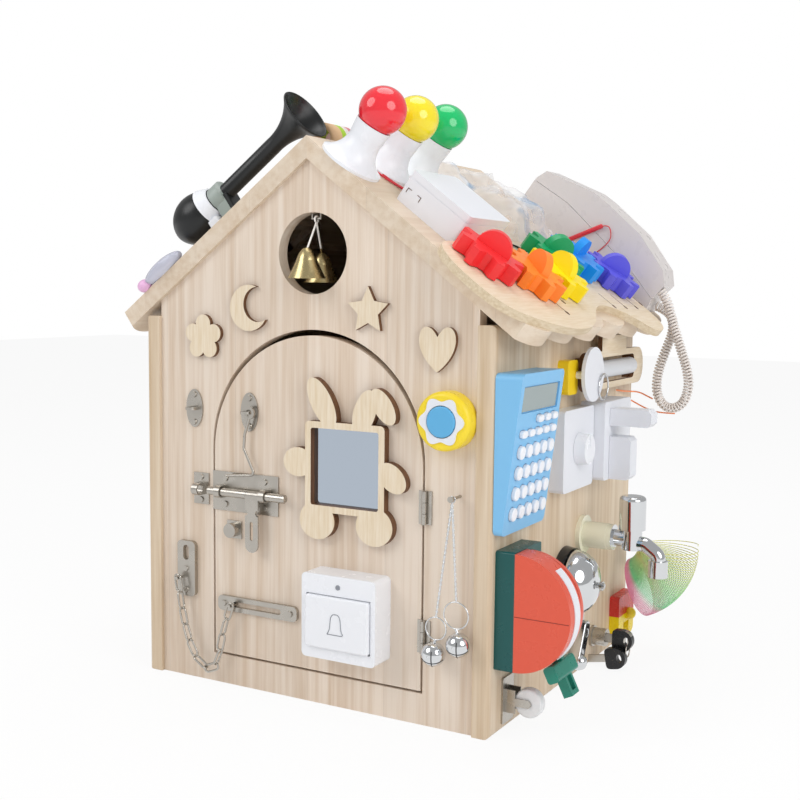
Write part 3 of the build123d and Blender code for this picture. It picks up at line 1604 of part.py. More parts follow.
def wound_wire(route, coil_radius, turns, wire, name):
    """Sweep a wire that winds round a route, a quarter turn at a time, with short straight ends."""
    steps = 4 * turns
    points = []
    for step in range(steps + 1):
        centre, side, up = route(step / steps)
        angle = math.radians(90 * step)
        points.append(centre + side * (coil_radius * math.cos(angle)) + up * (coil_radius * math.sin(angle)))
    ways = []
    for index in range(steps + 1):
        low = max(index - 1, 0)
        high = min(index + 1, steps)
        centre, side, up = route(index / steps)
        angle = math.radians(90 * index)
        drift = route(high / steps)[0] - route(low / steps)[0]
        turn_way = side * (-math.sin(angle)) + up * math.cos(angle)
        quarter = coil_radius * math.pi / 2
        ways.append((turn_way * (quarter * (high - low)) + drift).normalized())
    least = 1e9
    for first in range(steps + 1):
        for second in range(first + 3, min(first + 6, steps + 1)):
            least = min(least, (points[first] - points[second]).length - wire)
    print(f"{name}: {turns} turns, least gap to itself {least:.2f} mm")
    with BuildLine() as wire_line:
        Line(points[0] - ways[0] * wire, points[0])
        for index in range(steps):
            biarc(points[index], ways[index], points[index + 1], ways[index + 1])
        Line(points[-1], points[-1] + ways[-1] * wire)
    with BuildSketch(Plane(origin=wire_line.wire() @ 0, z_dir=wire_line.wire() % 0)) as profile:
        Circle(wire / 2)
    sweep(profile.sketch, path=wire_line.wire())


# Rainbow spring, fanned about a line along the wall
def spring_route(share):
    """Centre and directions of the spring's coil at a share of its length."""
    fan = math.radians(spring_start - spring_fan * share)
    out = Vector(math.cos(fan), 0, math.sin(fan))
    centre = Vector(half_width + spring_clip, spring_y, spring_z) + out * spring_hinge_radius
    return centre, out, Vector(0, 1, 0)


with BuildPart() as rainbow_spring:
    wound_wire(spring_route, spring_coil_radius, spring_coils, spring_wire, "rainbow spring")
save(rainbow_spring.part, "rainbow_spring")

# Clip toy under the spring
with BuildPart() as clip_toy:
    with BuildSketch(right_plane(0)):
        with Locations((toy_y, toy_z)):
            RectangleRounded(toy_width, toy_height, plate_round)
        for step in (-1, 1):
            with Locations((toy_y + step * (toy_width - toy_leg_width) / 2, toy_z - toy_height / 2)):
                SlotOverall(toy_leg_length, toy_leg_width, rotation=90)
    extrude(amount=toy_depth)
    with BuildSketch(right_plane(toy_depth)):
        with Locations((toy_y + toy_ball / 2, toy_z - toy_height / 4)):
            Circle(toy_ball / 2)
    extrude(amount=toy_ball / 2)
save(clip_toy.part, "clip_toy")

# Lamp holders and bulbs
slab_top = roof_thickness


def bulb_place(y, out):
    """Plane on the right slab at a bulb's place, moved out."""
    base = roof_plane(slab_top + out)
    return Plane(origin=base.from_local_coords((bulb_s, y, 0)), x_dir=base.x_dir, z_dir=base.z_dir)


def side_of(plane):
    """Plane through another plane's axis, with X sideways and Y along the axis."""
    return Plane(origin=plane.origin, x_dir=plane.x_dir, z_dir=-plane.y_dir)


with BuildPart() as lamp_holders:
    for bulb_y in bulb_ys:
        place = bulb_place(bulb_y, 0)
        with BuildSketch(side_of(place)):
            with BuildLine():
                Line((0, 0), (holder_base_radius, 0))
                Line((holder_base_radius, 0), (holder_base_radius, holder_foot))
                ThreePointArc(
                    (holder_base_radius, holder_foot),
                    (holder_neck_radius + holder_wall, holder_height * 0.4),
                    (holder_neck_radius, holder_height * 0.72),
                )
                Line((holder_neck_radius, holder_height * 0.72), (holder_neck_radius + holder_wall, holder_height))
                Line((holder_neck_radius + holder_wall, holder_height), (holder_neck_radius, holder_height))
                Line((holder_neck_radius, holder_height), (bulb_neck_radius + seat_gap, bulb_base))
                Line((bulb_neck_radius + seat_gap, bulb_base), (0, bulb_base))
                Line((0, bulb_base), (0, 0))
            make_face()
        revolve(axis=Axis(place.origin, place.z_dir))
save(lamp_holders.part, "lamp_holders")

with BuildPart() as lamp_bulbs:
    for bulb_y in bulb_ys:
        place = bulb_place(bulb_y, 0)
        with BuildSketch(place.offset(bulb_base)):
            Circle(bulb_neck_radius)
        extrude(amount=bulb_centre - bulb_base)
        with Locations(place.offset(bulb_centre)):
            Sphere(bulb_radius)
save(lamp_bulbs.part, "lamp_bulbs")

# Battery box
with BuildPart() as battery_box:
    with BuildSketch(roof_plane(slab_top)):
        with Locations((battery_s, battery_y)):
            RectangleRounded(battery_length, battery_width, battery_round)
    extrude(amount=battery_height)
    with BuildSketch(roof_plane(slab_top + battery_height - battery_seam)):
        with Locations((battery_s, battery_y)):
            RectangleRounded(battery_length, battery_width, battery_round)
            RectangleRounded(
                battery_length - battery_groove, battery_width - battery_groove, battery_round, mode=Mode.SUBTRACT
            )
    extrude(amount=battery_groove, mode=Mode.SUBTRACT)
save(battery_box.part, "battery_box")

# Gear board
board_top = slab_top + gear_board_thickness
gear_base = board_top + gear_board_gap
gear_places = [(gear_first_s, gear_first_y)]
for heading in gear_headings:
    last_s, last_y = gear_places[-1]
    turn = math.radians(heading)
    gear_places.append((last_s + gear_spacing * math.cos(turn), last_y + gear_spacing * math.sin(turn)))

with BuildPart() as gear_board:
    with BuildSketch(roof_plane(slab_top)):
        with BuildLine():
            board_points = []
            for share_s, share_y in gear_board_shares:
                board_points.append(
                    (gear_board_s + share_s * gear_board_length, gear_board_y + share_y * gear_board_width)
                )
            Spline(*board_points, periodic=True)
        make_face()
    extrude(amount=gear_board_thickness)
    with BuildSketch(roof_plane(board_top)):
        with Locations(*gear_places):
            Circle(gear_post_diameter)
    extrude(amount=gear_board_gap - seat_gap)
    with BuildSketch(roof_plane(board_top)):
        with Locations(*gear_places):
            Circle(gear_post_diameter / 2)
    extrude(amount=gear_board_gap + gear_height / 2)
save(gear_board.part, "gear_board")

# Gears
tooth_pitch = 360 / gear_teeth
gear_turns = [0]
for index, heading in enumerate(gear_headings):
    share_of_pitch = (heading - gear_turns[index]) / tooth_pitch
    gear_turns.append(heading + 180 - tooth_pitch * (0.5 - share_of_pitch))

for index, gear_name in enumerate(gear_names):
    with BuildPart() as gear:
        flat = roof_plane(gear_base)
        place = Plane(
            origin=flat.from_local_coords((*gear_places[index], 0)), x_dir=flat.x_dir, z_dir=flat.z_dir
        )
        with BuildSketch(place):
            Circle(gear_root_radius)
            with PolarLocations(0, gear_teeth, start_angle=gear_turns[index]):
                Polygon(
                    (0, -gear_root_width / 2), (gear_root_radius, -gear_root_width / 2),
                    (gear_tip_radius, -gear_tip_width / 2), (gear_tip_radius, gear_tip_width / 2),
                    (gear_root_radius, gear_root_width / 2), (0, gear_root_width / 2), align=None,
                )
        extrude(amount=gear_height)
        fin_plane = Plane(
            origin=place.from_local_coords((0, 0, gear_height)),
            x_dir=place.x_dir.rotate(Axis(place.origin, place.z_dir), gear_fin_turns[index]),
            z_dir=place.y_dir.rotate(Axis(place.origin, place.z_dir), gear_fin_turns[index]) * -1,
        )
        with BuildSketch(fin_plane.offset(-gear_fin_thickness / 2)):
            Circle(gear_fin_radius)
            with Locations((0, -gear_fin_radius)):
                Rectangle(2 * gear_fin_radius, 2 * gear_fin_radius, mode=Mode.SUBTRACT)
        extrude(amount=gear_fin_thickness)
        with BuildSketch(place):
            Circle(gear_post_diameter / 2 + gear_post_gap)
        extrude(amount=gear_height / 2 + seat_gap, mode=Mode.SUBTRACT)
    save(gear.part, f"gear_{gear_name}")


# Telephone
def phone_points(shares):
    """Points of the telephone's side view, from shares of its length and height."""
    return [(phone_start + s * phone_length, slab_top + h * handset_height) for s, h in shares]


seat_points = phone_points(phone_seat_shares)
top_points = phone_points(phone_shares)
with BuildPart() as phone_base:
    with BuildSketch(roof_section(phone_y - phone_width / 2)):
        with BuildLine():
            Polyline((phone_start + phone_length, slab_top), (phone_start, slab_top), *seat_points, close=True)
        make_face()
    extrude(amount=-phone_width)
save(phone_base.part, "phone_base")

with BuildPart() as handset:
    with BuildSketch(roof_section(phone_y - handset_width / 2)):
        with BuildLine():
            lifted = [(s, h + handset_gap) for s, h in seat_points]
            Polyline(*lifted, *reversed(top_points), close=True)
        make_face()
    extrude(amount=-handset_width)
save(handset.part, "handset")


# Curly cord
def cord_bends(points):
    """Runs and arcs of a line through points, each bend as large as its two runs allow."""
    spots = [Vector(*point) for point in points]
    pieces = []
    last = spots[0]
    radii = []
    for before, corner, after in zip(spots, spots[1:], spots[2:]):
        way_in = (corner - before).normalized()
        way_out = (after - corner).normalized()
        turn = math.acos(way_in.dot(way_out))
        reach = cord_bend_share * min((corner - before).length, (after - corner).length)
        radius = reach / math.tan(turn / 2)
        radii.append(round(radius, 1))
        bend_start = corner - way_in * reach
        pieces.append(("run", last, way_in, (bend_start - last).length))
        inward = (way_out - way_in * way_in.dot(way_out)).normalized()
        pieces.append(("bend", bend_start, way_in, radius * turn, inward, radius))
        last = corner + way_out * reach
    way_in = (spots[-1] - last).normalized()
    pieces.append(("run", last, way_in, (spots[-1] - last).length))
    print("cord bend radii", radii)
    return pieces


cord_pieces = cord_bends(cord_points)
cord_length = sum(piece[3] for piece in cord_pieces)


def cord_route(share):
    """Place on the cord's line and two directions square to it, at a share of its length."""
    along = share * cord_length
    for piece in cord_pieces:
        if along <= piece[3] or piece is cord_pieces[-1]:
            break
        along -= piece[3]
    if piece[0] == "run":
        place = piece[1] + piece[2] * along
        way = piece[2]
    else:
        angle = along / piece[5]
        place = piece[1] + piece[2] * (piece[5] * math.sin(angle)) + piece[4] * (piece[5] * (1 - math.cos(angle)))
        way = piece[2] * math.cos(angle) + piece[4] * math.sin(angle)
    side = way.cross(Vector(0, 1, 0)).normalized()
    return place, side, side.cross(way)


cord_turns = int(cord_length / cord_pitch)
print("cord line length", round(cord_length, 1))
with BuildPart() as phone_cord:
    wound_wire(cord_route, (cord_outer - cord_wire) / 2, cord_turns, cord_wire, "phone cord")
save(phone_cord.part, "phone_cord")

# Bulb horn on the left roof
with BuildPart() as bulb_horn:
    horn_plane = left_roof_plane(slab_top + horn_axis)
    horn_side = Plane(
        origin=horn_plane.from_local_coords((0, horn_y, 0)), x_dir=horn_plane.x_dir, z_dir=-horn_plane.y_dir
    )
    with BuildSketch(horn_side):
        with BuildLine():
            bulb_end = -(horn_bulb_s + horn_bulb_length / 2)
            bulb_front = -(horn_bulb_s - horn_bulb_length / 2)
            mouth_start = -(horn_mouth_s + horn_mouth_length)
            Polyline(
                (bulb_end, horn_bulb_flat), (bulb_end, 0), (-horn_mouth_s, 0),
                (-horn_mouth_s, horn_mouth_radius),
            )
            ThreePointArc(
                (-horn_mouth_s, horn_mouth_radius),
                (mouth_start + horn_mouth_length * 0.6, horn_mouth_radius * 0.5),
                (mouth_start, horn_pipe_radius),
            )
            Polyline(
                (mouth_start, horn_pipe_radius), (-horn_collar_s + horn_pipe_radius, horn_pipe_radius),
                (-horn_collar_s + horn_pipe_radius, horn_collar_radius),
                (bulb_front, horn_collar_radius),
            )
            ThreePointArc(
                (bulb_front, horn_collar_radius), (-horn_bulb_s, horn_bulb_radius), (bulb_end, horn_bulb_flat)
            )
        make_face()
    revolve(axis=Axis(horn_side.origin, horn_side.x_dir))
    with BuildSketch(left_roof_plane(slab_top)):
        with Locations((-horn_collar_s + horn_pipe_radius * 0.5, horn_y)):
            Rectangle(horn_foot_length, horn_foot_width)
    extrude(amount=horn_axis - horn_pipe_radius / 2)
save(bulb_horn.part, "bulb_horn")
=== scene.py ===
"""Finishes, small pieces and studio for the wooden busy house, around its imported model."""
import bpy
import bmesh
import math
from mathutils import Matrix, Vector, noise


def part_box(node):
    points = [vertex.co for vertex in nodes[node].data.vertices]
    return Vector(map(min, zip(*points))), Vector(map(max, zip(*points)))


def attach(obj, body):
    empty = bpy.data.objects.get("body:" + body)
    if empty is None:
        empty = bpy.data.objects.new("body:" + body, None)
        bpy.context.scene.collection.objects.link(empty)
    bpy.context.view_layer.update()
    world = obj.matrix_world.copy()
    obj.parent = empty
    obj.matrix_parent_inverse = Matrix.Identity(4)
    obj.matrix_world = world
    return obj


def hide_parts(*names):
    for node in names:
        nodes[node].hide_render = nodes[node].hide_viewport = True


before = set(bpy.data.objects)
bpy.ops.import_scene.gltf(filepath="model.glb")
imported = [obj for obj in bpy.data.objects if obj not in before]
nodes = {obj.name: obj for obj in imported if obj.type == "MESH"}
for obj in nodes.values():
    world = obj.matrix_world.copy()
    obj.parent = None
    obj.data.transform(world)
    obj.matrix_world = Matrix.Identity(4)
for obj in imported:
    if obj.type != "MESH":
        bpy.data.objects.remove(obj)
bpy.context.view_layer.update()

# The house in millimetres: slope of the roof, height of the ridge at the underside of its slabs,
# faces of the front and of the right wall, and thickness of the slabs and of the gear board
MM = 0.001
SLOPE = math.radians(36.94)
APEX = 557
FRONT = -195
WALL = 210
SLAB = 18
GEAR_BOARD = 8
# The calculator leans out by 19 mm over its height of 154 mm
CALC_TILT = math.atan(19 / 154)

# Directions: along the front, into the house and out of it, and down and out of each roof slab
ALONG_FRONT = Vector((1, 0, 0))
INTO_HOUSE = Vector((0, 1, 0))
OUT_OF_FRONT = Vector((0, -1, 0))
RIGHT_DOWN = Vector((math.cos(SLOPE), 0, -math.sin(SLOPE)))
RIGHT_OUT = Vector((math.sin(SLOPE), 0, math.cos(SLOPE)))
LEFT_DOWN = Vector((-math.cos(SLOPE), 0, -math.sin(SLOPE)))
LEFT_OUT = Vector((-math.sin(SLOPE), 0, math.cos(SLOPE)))


def spot(x, y, z):
    """A place given in millimetres."""
    return Vector((x, y, z)) * MM


def placed(origin, across, out):
    """Matrix that puts a piece drawn in millimetres at a place, its Z pointing out."""
    up = out.cross(across).normalized()
    turn = Matrix((across.normalized(), up, out.normalized())).transposed().to_4x4()
    return Matrix.Translation(origin) @ turn @ Matrix.Scale(MM, 4)


def upright(x, y, z):
    """Matrix that moves a piece drawn in millimetres to a place and doesn't turn it."""
    return Matrix.Translation(spot(x, y, z)) @ Matrix.Scale(MM, 4)


def on_front(x, z, out):
    """Place on the front panel."""
    return placed(spot(x, FRONT - out, z), ALONG_FRONT, OUT_OF_FRONT)


def roof_spot(s, y, out, side=1):
    """Point over a roof slab, counted down the slope from the ridge and out from its underside."""
    down, normal = (RIGHT_DOWN, RIGHT_OUT) if side > 0 else (LEFT_DOWN, LEFT_OUT)
    return spot(0, y, APEX) + (down * s + normal * out) * MM


def on_roof(s, y, out):
    """Place on the right roof slab, X down the slope."""
    return placed(roof_spot(s, y, out), RIGHT_DOWN, RIGHT_OUT)


def on_left_roof(s, y, out, across=LEFT_DOWN, normal=LEFT_OUT):
    """Place on the left roof slab, X down the slope unless it is told otherwise."""
    return placed(roof_spot(s, y, out, -1), across, normal)


# Materials
def linear(code):
    """Linear colour of an sRGB hex value."""
    parts = [int(code[index:index + 2], 16) / 255 for index in (1, 3, 5)]
    straight = [
        part / 12.92 if part <= 0.04045 else ((part + 0.055) / 1.055) ** 2.4 for part in parts
    ]
    return straight + [1]


def add(tree, kind, inputs=None, **settings):
    """Add a node with its settings, values and links."""
    made = tree.nodes.new("ShaderNode" + kind)
    for key, value in settings.items():
        setattr(made, key, value)
    for key, value in (inputs or {}).items():
        if isinstance(value, bpy.types.NodeSocket):
            tree.links.new(value, made.inputs[key])
        else:
            made.inputs[key].default_value = value
    return made


def ramp_of(tree, source, stops, interpolation="LINEAR"):
    """Colours along a value, as pairs of position and sRGB hex."""
    made = add(tree, "ValToRGB", {"Fac": source})
    made.color_ramp.interpolation = interpolation
    elements = made.color_ramp.elements
    while len(elements) < len(stops):
        elements.new(0.5)
    for element, (position, code) in zip(elements, stops):
        element.position = position
        element.color = linear(code)
    return made.outputs["Color"]


def begin(name, **values):
    """New material with its shader's own values set."""
    material = bpy.data.materials.new(name)
    material.use_nodes = True
    tree = material.node_tree
    shader = tree.nodes["Principled BSDF"]
    for key, value in values.items():
        shader.inputs[key.replace("_", " ")].default_value = value
    place = add(tree, "TexCoord")
    return material, tree, shader, place


def roughen(tree, shader, place, middle, swing, grain, depth):
    """Uneven gloss and a fine surface, at a grain size in millimetres; the gloss changes in patches
    twelve grains wide."""
    patch = add(tree, "TexNoise", {
        "Vector": place.outputs["Object"], "Scale": 1 / (grain * 12 * MM), "Detail": 3,
    })
    gloss = add(tree, "MapRange", {
        "Value": patch.outputs["Fac"], "From Min": 0.3, "From Max": 0.7,
        "To Min": middle - swing, "To Max": middle + swing,
    })
    tree.links.new(gloss.outputs["Result"], shader.inputs["Roughness"])
    fine = add(tree, "TexNoise", {
        "Vector": place.outputs["Object"], "Scale": 1 / (grain * MM), "Detail": 2,
    })
    bump = add(tree, "Bump", {
        "Height": fine.outputs["Fac"], "Strength": 0.25, "Distance": depth * MM,
    })
    tree.links.new(bump.outputs["Normal"], shader.inputs["Normal"])


def plastic(name, code, rough=0.32, swing=0.05, grain=0.9, depth=0.03, paint=None, **values):
    """Moulded plastic: one colour all through, a soft gloss and a faint eggshell from the mould."""
    material, tree, shader, place = begin(name, Base_Color=linear(code), IOR=1.46, **values)
    if paint:
        tree.links.new(paint(tree, place), shader.inputs["Base Color"])
    roughen(tree, shader, place, rough, swing, grain, depth)
    return material


def along(tree, place, way, low, high):
    """Share of the way from one distance to another, in millimetres, along a direction."""
    reach = add(tree, "VectorMath", {0: place.outputs["Object"], 1: way}, operation="DOT_PRODUCT")
    share = add(tree, "MapRange", {
        "Value": reach.outputs["Value"], "From Min": low * MM, "From Max": high * MM,
    })
    return share.outputs["Result"]


def banded(way, low, high, stops):
    """Paint that changes sharply with the place along a direction."""
    return lambda tree, place: ramp_of(tree, along(tree, place, way, low, high), stops, "CONSTANT")


def timber(name, light, dark, stretch, board=None):
    """Lacquered pine: straight fine grain lines 5 to 9 mm apart, faint fibres and a satin skin."""
    material, tree, shader, place = begin(name, IOR=1.5, Coat_Weight=0.1, Coat_Roughness=0.35)
    drawn = add(tree, "Mapping", {"Vector": place.outputs["Object"], "Scale": stretch})
    sway = add(tree, "TexNoise", {"Vector": drawn.outputs["Vector"], "Scale": 7, "Detail": 2})
    swayed = add(tree, "VectorMath", {
        0: sway.outputs["Color"], 1: (16 * MM,) * 3, 2: drawn.outputs["Vector"],
    }, operation="MULTIPLY_ADD")
    lines = add(tree, "TexNoise", {
        "Vector": swayed.outputs["Vector"], "Scale": 130, "Detail": 2, "Roughness": 0.5,
    })
    fibres = add(tree, "TexNoise", {"Vector": drawn.outputs["Vector"], "Scale": 700, "Detail": 2})
    broad = add(tree, "TexNoise", {"Vector": drawn.outputs["Vector"], "Scale": 24, "Detail": 1})
    tone = add(tree, "Math", {0: lines.outputs["Fac"], 1: 0.5}, operation="MULTIPLY")
    for layer, weight in ((fibres, 0.15), (broad, 0.35)):
        tone = add(tree, "Math", {
            0: layer.outputs["Fac"], 1: weight, 2: tone.outputs["Value"],
        }, operation="MULTIPLY_ADD")
    wood = ramp_of(tree, tone.outputs["Value"], ((0.4, light), (0.66, dark)))
    if board:
        way, pitch = board
        step = add(tree, "VectorMath", {
            0: place.outputs["Object"], 1: way,
        }, operation="DOT_PRODUCT")
        strip = add(tree, "Math", {0: step.outputs["Value"], 1: pitch * MM}, operation="DIVIDE")
        number = add(tree, "Math", {0: strip.outputs["Value"]}, operation="FLOOR")
        tint = add(tree, "TexWhiteNoise", {"W": number.outputs["Value"]}, noise_dimensions="1D")
        lift = add(tree, "MapRange", {
            "Value": tint.outputs["Value"], "To Min": 0.94, "To Max": 1.04,
        })
        seam = add(tree, "Math", {0: strip.outputs["Value"]}, operation="FRACT")
        line = add(tree, "Math", {0: seam.outputs["Value"], 1: 0.006}, operation="GREATER_THAN")
        edge = add(tree, "MapRange", {"Value": line.outputs["Value"], "To Min": 0.88, "To Max": 1})
        shade = add(tree, "Math", {
            0: lift.outputs["Result"], 1: edge.outputs["Result"],
        }, operation="MULTIPLY")
        scaled = add(tree, "VectorMath", {
            0: wood, "Scale": shade.outputs["Value"],
        }, operation="SCALE")
        wood = scaled.outputs["Vector"]
    tree.links.new(wood, shader.inputs["Base Color"])
    gloss = add(tree, "MapRange", {"Value": fibres.outputs["Fac"], "To Min": 0.45, "To Max": 0.62})
    tree.links.new(gloss.outputs["Result"], shader.inputs["Roughness"])
    bump = add(tree, "Bump", {
        "Height": tone.outputs["Value"], "Strength": 0.15, "Distance": 0.3 * MM,
    })
    tree.links.new(bump.outputs["Normal"], shader.inputs["Normal"])
    return material


def birch(name, out, face="#EADCC6", edge="#54351F", char="#7A5232", thread=(1, 1, 0.08)):
    """Birch plywood: a pale veneer face, and edges burnt brown or pale where they are sanded."""
    material, tree, shader, place = begin(name, IOR=1.5, Roughness=0.55)
    facing = add(tree, "VectorMath", {0: place.outputs["Normal"], 1: out}, operation="DOT_PRODUCT")
    size = add(tree, "Math", {0: facing.outputs["Value"]}, operation="ABSOLUTE")
    flat = add(tree, "Math", {0: size.outputs["Value"], 1: 0.9}, operation="GREATER_THAN")
    drawn = add(tree, "Mapping", {"Vector": place.outputs["Object"], "Scale": thread})
    veneer = add(tree, "TexNoise", {"Vector": drawn.outputs["Vector"], "Scale": 420, "Detail": 3})
    surface = ramp_of(tree, veneer.outputs["Fac"], ((0.3, face), (0.75, "#DCC8A8")))
    burnt = ramp_of(tree, veneer.outputs["Fac"], ((0.3, edge), (0.7, char)))
    mix = add(tree, "Mix", {
        "Factor": flat.outputs["Value"], 6: burnt, 7: surface,
    }, data_type="RGBA")
    tree.links.new(mix.outputs[2], shader.inputs["Base Color"])
    bump = add(tree, "Bump", {
        "Height": veneer.outputs["Fac"], "Strength": 0.15, "Distance": 0.2 * MM,
    })
    tree.links.new(bump.outputs["Normal"], shader.inputs["Normal"])
    return material


def metal(name, code, rough, swing=0.06, grain=0.6, depth=0.015, paint=None):
    """Plated or polished metal: mirror-like with faint rub marks."""
    material, tree, shader, place = begin(name, Base_Color=linear(code), Metallic=1)
    if paint:
        tree.links.new(paint(tree, place), shader.inputs["Base Color"])
    roughen(tree, shader, place, rough, swing, grain, depth)
    return material


def capped(name, code, rough, cover, way, edge):
    """Metal with a moulded or woven part before an edge along a direction, in millimetres."""
    material = metal(name, code, rough)
    tree = material.node_tree
    shader = tree.nodes["Principled BSDF"]
    place = add(tree, "TexCoord")
    bare = along(tree, place, way, edge, edge + 0.1)
    tree.links.new(ramp_of(tree, bare, ((0, cover), (1, code))), shader.inputs["Base Color"])
    tree.links.new(bare, shader.inputs["Metallic"])
    return material


def clear_film(name, code, alpha, rough=0.15):
    """Thin clear plastic film: a faint tint that lets most light through and glossy creases."""
    material, tree, shader, place = begin(name, Base_Color=linear(code), IOR=1.45)
    patch = add(tree, "TexNoise", {"Vector": place.outputs["Object"], "Scale": 24, "Detail": 2})
    tint = ramp_of(tree, patch.outputs["Fac"], (
        (0.36, "#8DB6DC"), (0.44, code), (0.6, code), (0.68, "#E8D7CE"),
    ))
    tree.links.new(tint, shader.inputs["Base Color"])
    cover = add(tree, "MapRange", {
        "Value": patch.outputs["Fac"], "From Min": 0.35, "From Max": 0.7,
        "To Min": alpha, "To Max": alpha * 0.6,
    })
    tree.links.new(cover.outputs["Result"], shader.inputs["Alpha"])
    shader.inputs["Roughness"].default_value = rough
    return material


def dotted_hole_shade(ground, dot, pitch, radius):
    """Painted shade of rows of holes: dark dots a pitch in millimetres apart."""
    def paint(tree, place):
        cells = add(tree, "TexVoronoi", {
            "Vector": place.outputs["Object"], "Scale": 1 / (pitch * MM), "Randomness": 0,
        })
        inside = add(tree, "Math", {0: cells.outputs["Distance"], 1: radius}, operation="LESS_THAN")
        return ramp_of(tree, inside.outputs["Value"], ((0, ground), (1, dot)))
    return paint


# Line about which the rainbow coil is fanned, along the wall
COIL_X = 218
COIL_Z = 128


def fanned(tree, place):
    """Colour round the fan of the coil, from yellow at its top over green to pink at its foot."""
    parts = add(tree, "SeparateXYZ", {0: place.outputs["Object"]})
    out = add(tree, "Math", {0: parts.outputs["X"], 1: COIL_X * MM}, operation="SUBTRACT")
    drop = add(tree, "Math", {0: COIL_Z * MM, 1: parts.outputs["Z"]}, operation="SUBTRACT")
    turn = add(tree, "Math", {
        0: drop.outputs["Value"], 1: out.outputs["Value"],
    }, operation="ARCTAN2")
    share = add(tree, "MapRange", {
        "Value": turn.outputs["Value"], "From Min": -0.07, "From Max": 1.17,
    })
    return ramp_of(tree, share.outputs["Result"], (
        (0, "#F4F08C"), (0.3, "#EAF2A6"), (0.52, "#B9EDA4"), (0.78, "#86E2A2"),
        (0.88, "#F3A6C0"), (1, "#F58FB4"),
    ))


PINE_LIGHT = "#E9DACA"
PINE_DARK = "#CFB69C"

# Clear-lacquered pine boards, planed and glued: a soft satin sheen over upright grain
front_pine = timber("lacquered_pine_front", PINE_LIGHT, PINE_DARK, (1, 1, 0.03), ((1, 0, 0), 92))
# The same boards on the side walls, a shade warmer
side_pine = timber("lacquered_pine_side", "#E4D2BA", "#C9AE8C", (1, 1, 0.03), ((0, 1, 0), 88))
# The same boards on the roof, with the grain along the ridge
roof_pine = timber("lacquered_pine_roof", "#E2D2BE", "#D2BCA2", (1, 0.03, 1), ((1, 0, 0), 70))
# Boards inside and at the back: the same lacquered pine painted darker, as painted shade for the
# dim inside of the house
inner_pine_painted_shade = timber("lacquered_pine_inside_painted_shade", "#D9C2A2", "#B8946B", (1, 0.05, 1))
# Planed battens with their grain down the slope, lightly lacquered
batten_pine = timber("planed_pine_battens", PINE_LIGHT, PINE_DARK, (1, 0.03, 1))
# Laser-cut birch plywood: pale, almost plain faces with burnt brown edges
front_birch = birch("laser_cut_birch_front", (0, 1, 0))
# The same plywood seen on the right wall
wall_birch = birch("laser_cut_birch_wall", (1, 0, 0), thread=(1, 0.08, 1))
# Sanded birch plywood: pale edges with faint layers
roof_birch = birch("sanded_birch_roof", RIGHT_OUT, "#E8D9C2", "#CDB896", "#E0D0B6", (1, 0.08, 1))
# Stamped steel with dull nickel: grey, with broad soft highlights and rub marks
nickel = metal("nickel_plated_steel", "#B9B4AC", 0.3, 0.1, 1.2, 0.03)
# Polished chrome: sharp reflections, hardly any marks
bright = metal("bright_chrome", "#D8DADC", 0.09, 0.04)
# Polished steel: bright but a little soft
steel = metal("polished_steel", "#C4C4C4", 0.2)
# Small cast bells of pale brass, on a white string above them
brass = capped("pale_brass_on_white_string", "#C2B183", 0.28, "#F2EEE8", (0, 0, -1), -468.5)
# Mirrored acrylic: a clear, slightly blue reflection
silvered = metal("silvered_acrylic", "#AEB8C4", 0.03, 0.01)
# Moulded glossy white ABS: even, with small highlights
white_shell = plastic("glossy_white_abs", "#EDEFF4", 0.25, 0.05, 1.4)
# Moulded satin white ABS: even, with wide faint highlights
white_soft = plastic("satin_white_abs", "#E6E8EE", 0.42)
# Moulded warm white ABS, coloured a little grey
phone_shell = plastic("warm_white_abs", "#DAD4D2", 0.3)
# Moulded pale blue ABS with a satin finish
calc_shell = plastic("pale_blue_abs", "#7EBEEA", 0.36)
# Moulded white rubber: matt, with no clear highlight
key_rubber = plastic("moulded_white_keys", "#F1F3F8", 0.5)
# Moulded black rubber, worn grey-green at the horn's collar
black_rubber = plastic("black_rubber", "#17191A", 0.34, 0.08, 1.5, 0.05, paint=banded(
    LEFT_DOWN, -400, -100, ((0, "#1B1D1E"), (0.594, "#9AA49E"), (0.648, "#17191A")),
))
# Moulded black plastic with a gloss finish; the same black is also the painted shade in the slots
# of the jingle bells
black_gloss_and_slot_shade = plastic("black_moulded_plastic_and_slot_shade", "#1A1B1D", 0.28, 0.05)
# Polished chrome, with the tap's cream plastic sleeve next to the wall
tap_skin = capped("chrome_tap_with_cream_sleeve", "#D8DADC", 0.09, "#EDEAD2", (1, 0, 0), 247.5)
# Polished chrome dome on a black plastic base
desk_skin = capped("chrome_bell_on_black_base", "#D8DADC", 0.09, "#1A1B1D", (1, 0, 0), 220.4)
# Thin clear film: glossy creases, a faint blue and pink tint
bag_film = clear_film("clear_bag_film", "#EDEFF4", 0.42)
# Clear moulded plastic with a lilac tint
lilac_shell = plastic("clear_lilac_plastic", "#DFE1F0", 0.18, 0.04, Transmission_Weight=0.35)
# Woven orange ribbon: soft, with no highlight
orange_thread = plastic("soft_orange_ribbon", "#FF9A6A", 0.6)
# Red PVC insulation: satin and even
wire_skin = plastic("red_wire_insulation", "#D5303C", 0.4)
# Wood burnt by a laser: matt dark brown
burnt_line = plastic("laser_burnt_line", "#5A3A24", 0.8)
# Moulded glossy yellow ABS
drum_shell = plastic("yellow_abs", "#F5D930", 0.3)
# Moulded yellow ABS with a white disc on its face
reel_shell = plastic("yellow_and_white_reel_abs", "#E6E8EE", 0.42, paint=banded(
    (1, 0, 0), 200, 300, ((0, "#F2CE1B"), (0.225, "#E6E8EE")),
))
# Moulded blue plastic with rows of small sound holes, drawn as dark dots of painted shade
button_shell = plastic(
    "blue_speaker_button", "#5FAEDD", 0.35, paint=dotted_hole_shade("#5FAEDD", "#2E6E97", 2.6, 0.24)
)
# Moulded glossy teal ABS
teal_grip = plastic("teal_abs", "#1E7F6C", 0.3)
